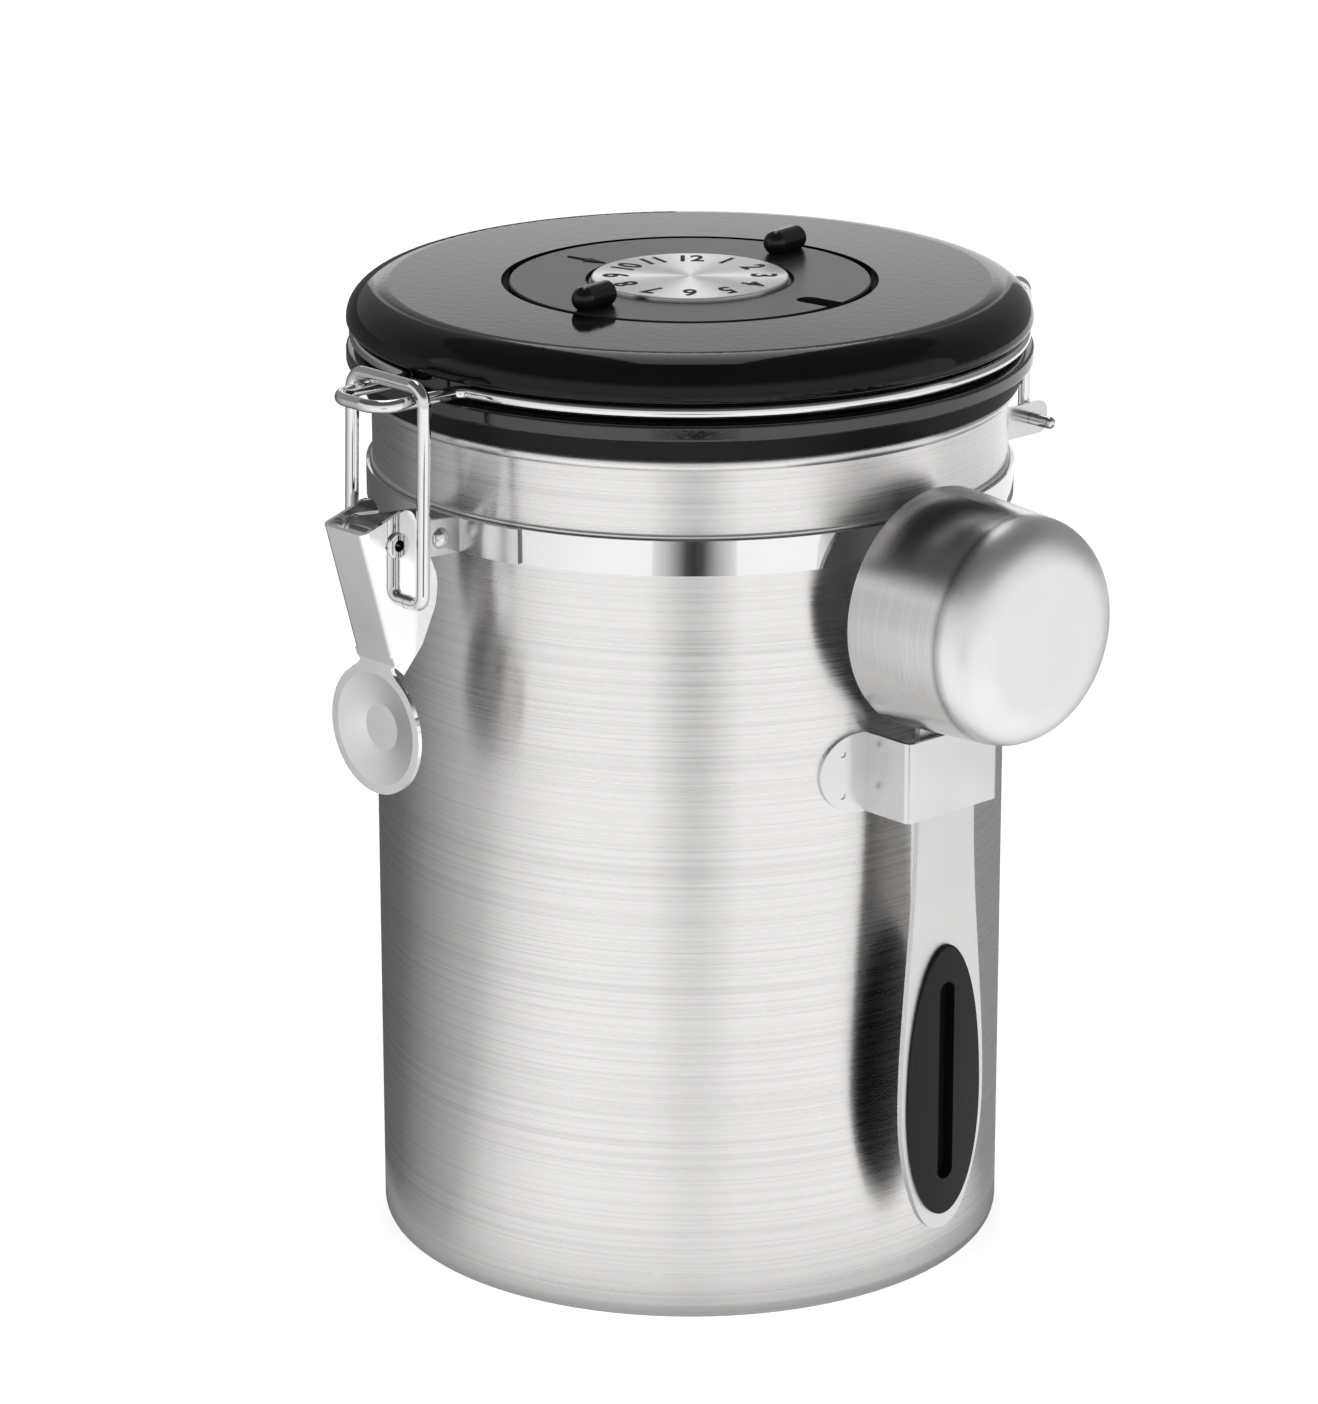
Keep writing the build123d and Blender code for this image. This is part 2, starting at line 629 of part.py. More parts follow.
def valve_housing():
    """Turned housing with the ported seat, pressed into the lid's base."""
    body = turned(
        polygon(
            (0, seat_bottom),
            (filter_radius, seat_bottom),
            (filter_radius, plate_bottom),
            (VALVE_BARREL_RADIUS, plate_bottom),
            (VALVE_BARREL_RADIUS, plate_top),
            (valve_flange_radius, plate_top),
            (valve_flange_radius, plate_top + VALVE_FLANGE_THICKNESS),
            (VALVE_BARREL_RADIUS, plate_top + VALVE_FLANGE_THICKNESS),
            (VALVE_BARREL_RADIUS, plate_top + VALVE_BARREL_HEIGHT),
            (valve_bore_radius, plate_top + VALVE_BARREL_HEIGHT),
            (valve_bore_radius, seat_top),
            (0, seat_top),
        )
    )
    ports = ring_of_holes(
        VALVE_PORT_COUNT, valve_bore_radius - VALVE_PORT_INSET, VALVE_PORT_RADIUS, seat_bottom - OVERRUN,
        VALVE_SEAT_THICKNESS + 2 * OVERRUN,
    )
    return body - ports


def valve_flap():
    """Soft disc that lifts off the seat to let gas out."""
    return disc(valve_bore_radius - FLAP_SIDE_GAP, seat_top, FLAP_THICKNESS)


def valve_guard():
    """Ported guard that limits the flap's lift."""
    bottom = seat_top + FLAP_THICKNESS + FLAP_LIFT
    plate = disc(valve_bore_radius, bottom, GUARD_THICKNESS)
    ports = ring_of_holes(
        GUARD_PORT_COUNT, valve_bore_radius - GUARD_PORT_INSET, GUARD_PORT_RADIUS, bottom - OVERRUN,
        GUARD_THICKNESS + 2 * OVERRUN,
    )
    return plate - ports


def valve_filter():
    """Filter pad under the seat, which keeps grounds out of the valve."""
    top = seat_bottom - FILTER_SEAT_GAP
    return disc(filter_radius - FILTER_SIDE_GAP, top - FILTER_THICKNESS, FILTER_THICKNESS)


def valve_cap():
    """Perforated cap on the lid's underside, which holds the filter."""
    spigot_top = seat_bottom - FILTER_SEAT_GAP - FILTER_THICKNESS
    bottom = plate_bottom - CAP_THICKNESS
    cap = turned(
        rounded_polygon(
            (
                (0, bottom),
                (valve_flange_radius, bottom),
                (valve_flange_radius, plate_bottom),
                (filter_radius, plate_bottom),
                (filter_radius, spigot_top),
                (filter_radius - CAP_SPIGOT_WALL, spigot_top),
                (filter_radius - CAP_SPIGOT_WALL, plate_bottom),
                (0, plate_bottom),
            ),
            (0, CAP_EDGE_RADIUS, 0, 0, 0, 0, 0, 0),
        )
    )
    hole_height = CAP_THICKNESS + 2 * OVERRUN
    holes = [disc(CAP_HOLE_RADIUS, bottom - OVERRUN, hole_height)]
    for step, share in enumerate(CAP_RING_SHARES, start=1):
        place = (filter_radius - CAP_SPIGOT_WALL) * share
        holes += ring_of_holes(step * CAP_RING_COUNT, place, CAP_HOLE_RADIUS, bottom - OVERRUN, hole_height)
    return cap - holes


def latch_point(out, rise):
    """Point of the YZ plane, given out from the lever's pivot and up from it."""
    return (-(latch_y + out), latch_z + rise)


def lever_tube(web_top, web_direction, half_width, depth, corner):
    """Long prism that runs along the lever's web and is round at its two front corners."""
    section = rounded_polygon(
        (
            (-half_width, -depth - LEVER_LENGTH),
            (half_width, -depth - LEVER_LENGTH),
            (half_width, -depth),
            (-half_width, -depth),
        ),
        (0, 0, corner, corner),
    )
    direction = Vector(0, web_direction.X, web_direction.Y)
    start = Vector(0, *web_top) - direction * LEVER_LENGTH
    return extrude(Plane(origin=start, x_dir=(1, 0, 0), z_dir=direction) * section, 3 * LEVER_LENGTH)


def latch_lever():
    """Folded lever: a web with two cheeks that runs on into a round thumb tab with a pressed dish."""
    web_top = latch_point(LEVER_TOP_OUT, LEVER_TOP_RISE)
    web_foot = latch_point(LEVER_WEB_FOOT_OUT, -LEVER_LENGTH)
    hump = latch_point(-LEVER_HUMP_IN, LEVER_HUMP_RISE)
    cheek_points = [
        latch_point(-LEVER_CHEEK_IN * depth, -LEVER_LENGTH * drop) for depth, drop in LEVER_CHEEK_SHARES
    ]
    outline = rounded_polygon(
        [web_top, hump] + cheek_points + [web_foot],
        (0, LEVER_HUMP_RADIUS, LEVER_CHEEK_RADIUS, LEVER_CHEEK_RADIUS, LEVER_CHEEK_RADIUS, 0, 0),
    )
    web_direction = (Vector(*web_foot) - Vector(*web_top)).normalized()
    channel = mirrored_pair(side_plate(outline, 0, lever_outside))
    channel &= lever_tube(web_top, web_direction, lever_outside, 0, LEVER_FOLD_RADIUS)
    channel -= lever_tube(
        web_top, web_direction, lever_inside, LEVER_SHEET, LEVER_FOLD_RADIUS - LEVER_SHEET
    )

    tab_y, tab_z = latch_point(TAB_OUT, -(LEVER_LENGTH + TAB_DROP))
    tab_back = tab_y + LEVER_SHEET
    inward = Vector(-web_direction.Y, web_direction.X) * LEVER_SHEET
    strip_top = Vector(*web_foot) - web_direction * LEVER_NECK_BEND
    strip_side = polygon(
        strip_top,
        web_foot,
        (tab_y, tab_z + TAB_DISH_RADIUS),
        (tab_y, tab_z - TAB_RADIUS),
        (tab_back, tab_z - TAB_RADIUS),
        (tab_back, tab_z + TAB_DISH_RADIUS),
        Vector(*web_foot) + inward,
        strip_top + inward,
    )
    strip = mirrored_pair(side_plate(strip_side, 0, TAB_RADIUS))
    neck_angle = radians(TAB_NECK_ANGLE)
    shoulder_half = lever_outside - LEVER_FOLD_RADIUS / 3
    shoulder = (shoulder_half, strip_top.Y - LEVER_SHEET)
    neck = (LEVER_NECK_HALF_WIDTH, (web_foot[1] + tab_z + TAB_RADIUS) / 2)
    on_tab = (TAB_RADIUS * cos(neck_angle), tab_z + TAB_RADIUS * sin(neck_angle))
    neck_side = Spline(shoulder, neck, on_tab, tangents=[(0, -1), (sin(neck_angle), -cos(neck_angle))])
    tab_side = arc_about((0, tab_z), on_tab, (0, tab_z - TAB_RADIUS))
    top = (0, strip_top.Y + LEVER_SHEET)
    corner = (shoulder_half, strip_top.Y + LEVER_SHEET)
    half = make_face(
        [Line((0, tab_z - TAB_RADIUS), top), Line(top, corner), Line(corner, shoulder), neck_side, tab_side]
    )
    front = half + mirror(half, about=Plane.YZ)
    strip &= extrude(Plane.XZ.offset(latch_y - LEVER_LENGTH) * front, 2 * LEVER_LENGTH)
    strip -= Pos(0, tab_y, tab_z) * Rot(90, 0, 0) * Cylinder(TAB_DISH_RADIUS, 2 * LEVER_LENGTH)

    dish = polygon(
        (0, tab_back + TAB_DISH_DEPTH),
        (TAB_DISH_FLAT_RADIUS, tab_back + TAB_DISH_DEPTH),
        (TAB_DISH_RADIUS, tab_back),
        (TAB_DISH_RADIUS, tab_y),
        (TAB_DISH_FLAT_RADIUS, tab_y + TAB_DISH_DEPTH),
        (0, tab_y + TAB_DISH_DEPTH),
    )
    dish = Pos(0, 0, tab_z) * revolve(dish, Axis.Y)

    lever = channel + strip + dish
    lever -= cross_rod(PIVOT_RADIUS + RUNNING_CLEARANCE, -latch_y, latch_z, lever_outside + OVERRUN)
    lever -= cross_rod(bail_radius + RUNNING_CLEARANCE, -hook_y, hook_z, lever_outside + OVERRUN)
    return lever


def latch_bail():
    """Wire loop that hooks over the hoop's tongue, with its ends turned into the lever's cheeks."""
    top_y = -(hook_y - BAIL_LEAN)
    end_x = lever_inside - BAIL_END_PROUD
    corners = (
        (end_x, -hook_y, hook_z),
        (bail_half_width, -hook_y, hook_z),
        (bail_half_width, top_y, bail_top_z),
        (-bail_half_width, top_y, bail_top_z),
        (-bail_half_width, -hook_y, hook_z),
        (-end_x, -hook_y, hook_z),
    )
    path = FilletPolyline(*corners, radius=(BAIL_HOOK_BEND, BAIL_CORNER, BAIL_CORNER, BAIL_HOOK_BEND))
    return wire_rod(path, bail_radius)


def scoop_holder():
    """Folded strap on the can's side that the scoop's handle drops into."""
    inner_bend = HOLDER_BEND - HOLDER_SHEET
    start_x = 2 * CAN_RADIUS - holder_face_x
    outer = rounded_polygon(
        ((start_x, -holder_outer_half), (holder_face_x, -holder_outer_half),
         (holder_face_x, holder_outer_half), (start_x, holder_outer_half)),
        (0, HOLDER_BEND, HOLDER_BEND, 0),
    )
    inner = rounded_polygon(
        ((start_x - OVERRUN, -holder_inner_half), (holder_inside_x, -holder_inner_half),
         (holder_inside_x, holder_inner_half), (start_x - OVERRUN, holder_inner_half)),
        (0, inner_bend, inner_bend, 0),
    )
    loop = outer - inner - Circle(CAN_RADIUS)
    half_span = holder_outer_half + HOLDER_FLANGE
    flange = Circle(CAN_RADIUS + HOLDER_SHEET) - Circle(CAN_RADIUS)
    flange &= Pos(CAN_RADIUS, 0) * Rectangle(CAN_RADIUS, 2 * half_span)
    flange -= Pos(CAN_RADIUS, 0) * Rectangle(CAN_RADIUS, 2 * holder_inner_half)
    strap = extrude(Plane.XY.offset(HOLDER_BOTTOM) * (loop + flange), HOLDER_HEIGHT)
    middle_z = HOLDER_BOTTOM + HOLDER_HEIGHT / 2
    outline = Pos(0, middle_z) * SlotOverall(2 * half_span, HOLDER_HEIGHT)
    strap &= extrude(Plane.YZ.offset(start_x - OVERRUN) * outline, holder_face_x)
    weld_angle = degrees(asin((holder_outer_half + HOLDER_FLANGE / 2) / CAN_RADIUS))
    for side in (-1, 1):
        for step in (-1, 1):
            dimple = Rot(0, 90, 0) * Cylinder(SPOT_WELD_RADIUS, 2 * SPOT_WELD_DEPTH)
            height = middle_z + step * SPOT_WELD_HALF_PITCH
            strap -= Rot(0, 0, side * weld_angle) * Pos(CAN_RADIUS + HOLDER_SHEET, 0, height) * dimple
    return strap


def cup_form(rim_radius, base_radius, depth, corner):
    """Solid cup form about +X, from the rim's plane outwards."""
    face = rounded_polygon(
        ((0, 0), (0, rim_radius), (depth, base_radius), (depth, 0)),
        (0, 0, corner, 0),
    )
    return Pos(cup_rim_x, 0, cup_axis_z) * revolve(Plane.XZ * face, Axis.X)


def cup_outside():
    """Outer form of the scoop's cup."""
    return cup_form(CUP_RIM_RADIUS, cup_base_radius, CUP_DEPTH, CUP_CORNER)


def scoop_cup():
    """Pressed cup of the scoop, open towards the can."""
    inside = cup_form(
        CUP_RIM_RADIUS - CUP_WALL, cup_base_radius - CUP_WALL, CUP_DEPTH - CUP_WALL, CUP_CORNER - CUP_WALL
    )
    return cup_outside() - inside


def grip_slot(extra):
    """Upright slot in the grip, widened all round by extra."""
    length = GRIP_SLOT_LENGTH + 2 * extra
    width = GRIP_SLOT_WIDTH + 2 * extra
    return Pos(0, grip_z) * Rot(0, 0, 90) * SlotOverall(length, width)


def scoop_handle():
    """Flat handle, waisted at the holder and widest at the grip."""
    top_z = cup_axis_z - cup_base_radius + CUP_CORNER / 2
    length = HOLDER_BOTTOM - HANDLE_TIP
    waist = [(HANDLE_NECK_HALF_WIDTH, top_z), (HANDLE_NECK_HALF_WIDTH, HOLDER_BOTTOM)]
    belly = [
        (HANDLE_HALF_WIDTH * width, HANDLE_TIP + length * height)
        for width, height in zip(HANDLE_WIDTH_SHARES, HANDLE_HEIGHT_SHARES)
    ]
    side = Spline(waist[1], *belly, (0, HANDLE_TIP), tangents=[(0, -1), (-1, 0)])
    half = make_face([Line((0, HANDLE_TIP), (0, top_z)), Line((0, top_z), waist[0]), Line(*waist), side])
    face = half + mirror(half, about=Plane.YZ) - grip_slot(GRIP_CORE_WALL)
    strip = extrude(Plane.YZ.offset(handle_back_x) * face, HANDLE_SHEET)
    return strip - cup_outside()


def grip_oval():
    """Outline of the grip: two half ovals that meet where it is widest, a little below its middle."""
    half_width = HANDLE_HALF_WIDTH - GRIP_SIDE_MARGIN
    waist_z = grip_z - GRIP_HALF_LENGTH + 2 * GRIP_HALF_LENGTH * GRIP_WAIST_SHARE
    lower_length = 2 * GRIP_HALF_LENGTH * GRIP_WAIST_SHARE
    upper_length = 2 * GRIP_HALF_LENGTH - lower_length
    upper = EllipticalCenterArc((0, waist_z), half_width, upper_length, arc_size=180)
    lower = EllipticalCenterArc((0, waist_z), half_width, lower_length, start_angle=180, arc_size=180)
    return make_face([upper, lower])


def scoop_grip():
    """Moulded grip on both sides of the handle, joined through it, with a blind slot in its crowned front."""
    oval = grip_oval()
    front_pad = extrude(Plane.YZ.offset(handle_front_x) * oval, GRIP_FRONT)
    front_pad = fillet(front_pad.faces().sort_by(Axis.X)[-1].edges(), GRIP_EDGE)
    crown_centre = handle_front_x + GRIP_FRONT - GRIP_CROWN_RADIUS
    front_pad &= Pos(crown_centre, 0, grip_z) * Cylinder(GRIP_CROWN_RADIUS, 3 * GRIP_HALF_LENGTH)
    back_pad = extrude(Plane.YZ.offset(handle_back_x - GRIP_BACK) * oval, GRIP_BACK)
    back_pad = fillet(back_pad.faces().sort_by(Axis.X)[0].edges(), GRIP_EDGE)
    core = extrude(Plane.YZ.offset(handle_back_x) * grip_slot(GRIP_CORE_WALL), HANDLE_SHEET)
    grip = front_pad + back_pad + core
    slot_floor = handle_back_x - GRIP_BACK + GRIP_SLOT_FLOOR
    return grip - extrude(Plane.YZ.offset(slot_floor) * grip_slot(0), HANDLE_SHEET + GRIP_BACK + GRIP_FRONT)


PARTS = {
    "can_body": can_body,
    "neck_band": neck_band,
    "latch_bracket": latch_bracket,
    "bracket_tie_rivet": bracket_tie_rivet,
    "lever_pivot_rivet": lever_pivot_rivet,
    "hinge_bracket": hinge_bracket,
    "scoop_holder": scoop_holder,
    "lid_base": lid_base,
    "lid_gasket": lid_gasket,
    "lid_cover": lid_cover,
    "wire_hoop": wire_hoop,
    "dial_hub": dial_hub,
    "month_dial": month_dial,
    "date_disc": date_disc,
    "finger_knob_back": lambda: finger_knob(KNOB_ANGLE, -1),
    "finger_knob_front": lambda: finger_knob(KNOB_ANGLE + 180, 1),
    "valve_housing": valve_housing,
    "valve_flap": valve_flap,
    "valve_guard": valve_guard,
    "valve_filter": valve_filter,
    "valve_cap": valve_cap,
    "latch_lever": latch_lever,
    "latch_bail": latch_bail,
    "scoop_cup": scoop_cup,
    "scoop_handle": scoop_handle,
    "scoop_grip": scoop_grip,
}

os.makedirs("parts", exist_ok=True)
for name, make_part in PARTS.items():
    export_step(make_part(), f"parts/{name}.step")
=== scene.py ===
"""Looks of a coffee canister with a date dial, a wire latch and a scoop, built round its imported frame."""

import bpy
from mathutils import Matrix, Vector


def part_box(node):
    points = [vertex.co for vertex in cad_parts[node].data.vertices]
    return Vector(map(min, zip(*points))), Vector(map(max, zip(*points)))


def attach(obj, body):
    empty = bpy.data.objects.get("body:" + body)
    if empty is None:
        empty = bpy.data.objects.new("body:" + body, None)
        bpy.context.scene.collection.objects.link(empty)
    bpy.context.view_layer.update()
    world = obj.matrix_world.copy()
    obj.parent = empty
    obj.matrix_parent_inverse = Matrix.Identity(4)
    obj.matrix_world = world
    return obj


bl_info = {
    "name": "Coffee canister looks",
    "version": (1, 0, 0),
    "blender": (4, 5, 0),
    "location": "View3D > Sidebar > Canister",
    "description": "Finishes, fine parts and studio for a coffee canister with a valve",
    "category": "Object",
}

from math import cos, pi, radians, sin

import bmesh
import bpy
from bpy.props import FloatProperty, FloatVectorProperty, IntProperty, PointerProperty
from mathutils import Matrix, Vector

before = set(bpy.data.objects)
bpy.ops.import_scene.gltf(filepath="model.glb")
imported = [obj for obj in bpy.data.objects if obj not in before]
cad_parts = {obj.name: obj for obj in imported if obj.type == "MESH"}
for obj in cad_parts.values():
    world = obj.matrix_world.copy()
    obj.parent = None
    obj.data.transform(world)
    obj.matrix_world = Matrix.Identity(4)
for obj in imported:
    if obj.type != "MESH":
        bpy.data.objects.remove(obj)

MM = 0.001

# Soft boxes: azimuth from the camera and elevation in degrees, lengths in millimetres.
LAMPS = {
    "left": dict(
        azimuth=-52, elevation=38, distance=1300, width=900, height=900, brightness=1.7, mirrored=False
    ),
    "right": dict(
        azimuth=38, elevation=34, distance=1300, width=600, height=900, brightness=2.2, mirrored=False
    ),
    "back": dict(
        azimuth=180, elevation=48, distance=1600, width=400, height=1700, brightness=1.7, mirrored=True
    ),
}

# Shading of the mirrored cards, as stops of place and grey level.
WRAP_SHADING = (
    (0.03, 0.11), (0.21, 0.15), (0.38, 0.37), (0.53, 0.6), (0.62, 0.78), (0.72, 0.93), (0.85, 1.0),
)
WRAP_LIFTED = ((0.02, 0.0), (0.2, 1.0))
RING_SHADING = ((0.4, 0.06), (1.0, 0.5))
FRONT_CARD_SHADING = ((0.0, 0.05), (0.2, 0.09), (0.6, 0.6), (1.0, 1.0))
BACK_CARD_SHADING = ((0.0, 0.5), (0.45, 0.8), (0.52, 0.82), (0.63, 0.36), (0.75, 0.2), (1.0, 0.2))

# Grain of the mouldings, as the noise's scale and its depth.
GLOSS_GRAIN = (500.0, 0.01 * MM)
FINE_GRAIN = (900.0, 0.01 * MM)
VALVE_GRAIN = (900.0, 0.02 * MM)
SEAL_GRAIN = (1200.0, 0.02 * MM)
GRIP_GRAIN = (2400.0, 0.05 * MM)
PRINT_GRAIN = (3000.0, 0.004 * MM)

# Fineness of round meshes.
FLOOR_SIDES = 96
CARD_SIDES = 120
BEAD_SIDES = 24
BEAD_STEPS = 256

# Half angle of a bead's section that is flattened, and the gap that is closed where its spin meets itself.
BEAD_FLAT = radians(40)
MERGE_DISTANCE = 0.001 * MM

# Height of a figure of the plain font against the font's size.
FIGURE_HEIGHT = 0.73

# Sockets of a Mix node that mixes colours.
MIX_FACTOR, MIX_FIRST, MIX_SECOND, MIX_RESULT = 0, 6, 7, 2


def length(name, description, millimetres):
    """Length that a user can change, given in millimetres."""
    return FloatProperty(
        name=name, description=description, default=millimetres * MM, unit="LENGTH", precision=5
    )


def angle(name, description, degrees):
    """Angle that a user can change, given in degrees."""
    return FloatProperty(name=name, description=description, default=radians(degrees), subtype="ANGLE")


def colour(name, description, red, green, blue):
    """Colour that a user can change."""
    return FloatVectorProperty(
        name=name, description=description, default=(red, green, blue), subtype="COLOR", min=0, max=1
    )


def factor(name, description, default):
    """Share from 0 to 1 that a user can change."""
    return FloatProperty(
        name=name, description=description, default=default, subtype="FACTOR", min=0, max=1
    )


def amount(name, description, default):
    """Plain number that a user can change."""
    return FloatProperty(name=name, description=description, default=default)


class CanisterFinishes(bpy.types.PropertyGroup):
    """Colours and roughness of the canister's surfaces."""

    brushed: colour("Brushed steel", "Colour of the can's brushed steel", 0.735, 0.722, 0.713)
    brushed_roughness: factor("Brushed roughness", "Roughness of the brushed steel", 0.28)
    brushed_anisotropy: factor("Brushed stretch", "How far the brushing stretches a highlight", 0.9)
    brush_pitch: length("Brush pitch", "Height of one brush line", 0.42)
    brush_length: length("Brush length", "Length of one brush line", 130)
    polished: colour("Polished steel", "Colour of the band and the wires", 0.735, 0.735, 0.74)
    polished_roughness: factor("Polished roughness", "Roughness of the polished steel", 0.05)
    pressed: colour("Pressed steel", "Colour of the brackets and the scoop's holder", 0.64, 0.64, 0.645)
    pressed_roughness: factor("Pressed roughness", "Roughness of the brackets and the scoop's holder", 0.18)
    lever: colour("Lever steel", "Colour of the latch's lever", 0.95, 0.95, 0.955)
    lever_roughness: factor("Lever roughness", "Roughness of the latch's lever", 0.06)
    satin: colour("Satin steel", "Colour of the cup's face", 0.78, 0.775, 0.77)
    satin_roughness: factor("Satin roughness", "Roughness of the cup's face and the handle", 0.46)
    handle: colour("Handle steel", "Colour of the scoop's handle", 0.68, 0.675, 0.67)
    # Set darker than the satin face as painted shade for the darker surroundings that the wall mirrors; its
    # rings and lower roughness are its turned finish.
    wall: colour("Cup wall", "Colour of the cup's turned wall", 0.60, 0.595, 0.59)
    wall_roughness: factor("Wall roughness", "Roughness of the cup's turned wall", 0.21)
    cup_corner: length("Cup corner", "Length over which the cup's wall turns into its face", 4)
    spun: colour("Spun steel", "Colour of the dial", 0.72, 0.72, 0.72)
    spun_roughness: factor("Spun roughness", "Roughness of the dial", 0.35)
    lid: colour("Lid plastic", "Colour of the lid's gloss plastic", 0.004, 0.004, 0.0045)
    lid_roughness: factor("Lid roughness", "Roughness of the lid's gloss plastic", 0.07)
    disc: colour("Disc plastic", "Colour of the date disc", 0.010, 0.010, 0.011)
    disc_roughness: factor("Disc roughness", "Roughness of the date disc", 0.26)
    knob: colour("Knob rubber", "Colour of the finger knobs", 0.006, 0.006, 0.006)
    knob_roughness: factor("Knob roughness", "Roughness of the finger knobs", 0.14)
    gasket: colour("Gasket", "Colour of the silicone seal", 0.006, 0.006, 0.006)
    gasket_roughness: factor("Gasket roughness", "Roughness of the silicone seal", 0.5)
    grip: colour("Grip plastic", "Colour of the scoop's grip", 0.004, 0.004, 0.004)
    grip_roughness: factor("Grip roughness", "Roughness of the scoop's grip", 0.42)
    valve: colour("Valve plastic", "Colour of the valve's mouldings", 0.045, 0.045, 0.047)
    valve_roughness: factor("Valve roughness", "Roughness of the valve's mouldings", 0.5)
    flap: colour("Flap silicone", "Colour of the valve's flap", 0.62, 0.60, 0.56)
    flap_roughness: factor("Flap roughness", "Roughness of the valve's flap", 0.4)
    felt: colour("Filter felt", "Colour of the filter pad", 0.80, 0.78, 0.73)
    felt_roughness: factor("Felt roughness", "Roughness of the filter pad", 0.95)
    print_ink: colour("Dial print", "Colour of the dial's numbers", 0.010, 0.010, 0.010)
    print_roughness: factor("Print roughness", "Roughness of the dial's numbers", 0.6)


class CanisterSizes(bpy.types.PropertyGroup):
    """Sizes of the parts that are modelled here."""

    rim_radius: length("Rim radius", "Radius of the rolled rim's centre line", 60)
    rim_wire: length("Rim bead", "Radius of the rolled rim's section", 1.15)
    rim_cover: length("Rim cover", "How far the fine bead covers the plain one", 0.04)
    neck_bead_radius: length("Neck bead's place", "Radius of the ring of the bead over the band", 60.15)
    neck_bead: length("Neck bead", "Radius of the section of the bead over the band", 0.4)
    number_count: IntProperty(
        name="Numbers", description="How many months the dial shows", default=12, min=1
    )
    number_height: length("Number height", "Height of a number on the dial", 4.9)
    number_width: factor("Number width", "Width of a number against the plain font's", 0.82)
    number_radius: length("Number radius", "Radius of the numbers' centres", 13.6)
    number_bold: length("Number weight", "How far a number's strokes are thickened", 0.17)
    number_rise: length("Number thickness", "Thickness of the printed numbers", 0.04)
    top_angle: angle("Top number's angle", "Angle of the last number about +Z", 137)
    pointer_angle: angle("Pointer's angle", "Angle of the disc's pointer about +Z", 189)
    pointer_outer: length("Pointer start", "Radius at which the pointer starts", 29.5)
    pointer_inner: length("Pointer tip", "Radius of the pointer's tip", 20.3)
    pointer_width: length("Pointer width", "Width of the pointer's shaft", 0.8)
    pointer_head: length("Pointer head", "Width of the pointer's head", 2.3)
    pointer_rise: length("Pointer rise", "How far the pointer stands out of the disc", 0.16)


class CanisterStudio(bpy.types.PropertyGroup):
    """Camera, floor, studio walls and the cards that the steel mirrors."""

    camera_azimuth: angle("Camera azimuth", "Turn of the camera about +Z", 47)
    camera_elevation: angle("Camera elevation", "Height of the camera as an angle", 18.102)
    camera_distance: length("Camera distance", "Distance from the camera to the aim", 1058.13)
    camera_aim: length("Camera aim", "Height of the point that the camera looks at", 95)
    camera_yaw: angle("Camera yaw", "Small turn that centres the photograph's frame", 0.322)
    camera_pitch: angle("Camera pitch", "Small tilt that centres the photograph's frame", 0.397)
    lens: FloatProperty(
        name="Lens", description="Focal length for a 36 mm tall sensor", default=141.04, unit="CAMERA"
    )
    sensor: FloatProperty(name="Sensor", description="Height of the sensor", default=36.0, unit="CAMERA")
    floor_radius: length("Floor radius", "Radius of the floor", 9000)
    floor: colour("Floor", "Colour of the floor", 0.88, 0.88, 0.88)
    floor_lift: factor("Floor lift", "Brightness added to the floor where it is seen or mirrored", 0.6)
    horizon: amount("Horizon", "Brightness of the studio's walls", 1.0)
    ceiling: amount("Ceiling", "Brightness of the studio's ceiling", 0.12)
    dim_start: angle("Dim start", "Angle over the horizon at which the walls begin to dim", 18)
    dim_end: angle("Dim end", "Angle over the horizon at which the ceiling's brightness is reached", 40)
    wrap_foot: length("Wrap foot", "Radius of the shaded cards at the floor", 68)
    wrap_slope: amount("Wrap slope", "How far the shaded cards flare for their height", 0.61)
    wrap_gap: length("Wrap gap", "Gap between the floor and the shaded cards", 1)
    wrap_shift: length("Wrap shift", "Shift of the cards' shading for the can's width", 45)
    wrap_light: amount("Wrap light", "Brightness of the shaded cards where they are lightest", 1.05)
    wrap_fade: factor("Wrap fade", "Cosine over which a shaded card fades towards the camera", 0.4)
    left_height: length("Left wrap height", "Height of the shaded card on the latch's side", 200)
    left_end: factor("Left wrap end", "Cosine from the camera at which that card ends", 0.9)
    right_height: length("Right wrap height", "Height of the shaded card on the scoop's side", 115)
    right_end: factor("Right wrap end", "Cosine from the camera at which that card ends", 0.45)
    right_lift: factor("Right wrap lift", "How far the right card is lightened beside the can", 0.2)
    ring_radius: length("Foot ring", "Radius of the shaded card under the can", 78)
    ring_height: length("Foot ring height", "Height of that card over the floor", 0.3)
    ring_dark: factor("Foot ring's dark part", "Share of the foot ring's radius that is dark", 0.79)
    card_radius: length("Front card distance", "Distance of the soft dark card in front", 400)
    card_width: length("Front card width", "Width of the soft dark card in front", 190)
    card_height: length("Front card height", "Height of the soft dark card in front", 85)
    card_angle: angle("Front card angle", "Angle of the soft dark card from the camera", 1.5)
    back_distance: length("Back card distance", "Distance of the card that the lid's top mirrors", 1380)
    back_width: length("Back card width", "Width of the card that the lid's top mirrors", 620)
    back_height: length("Back card height", "Height of the card that the lid's top mirrors", 900)
    back_light: amount("Back card light", "Brightness of that card at a grey level of 1", 1.8)
    flag_angle: angle("Flag angle", "Angle of each dark flag from the middle of the back wall", 50)
    flag_distance: length("Flag distance", "Distance of the dark flags", 1400)
    flag_width: length("Flag width", "Width of a dark flag", 2000)
    flag_height: length("Flag height", "Height of a dark flag", 1500)
    flag_light: amount("Flag light", "Brightness of a dark flag", 0.3)


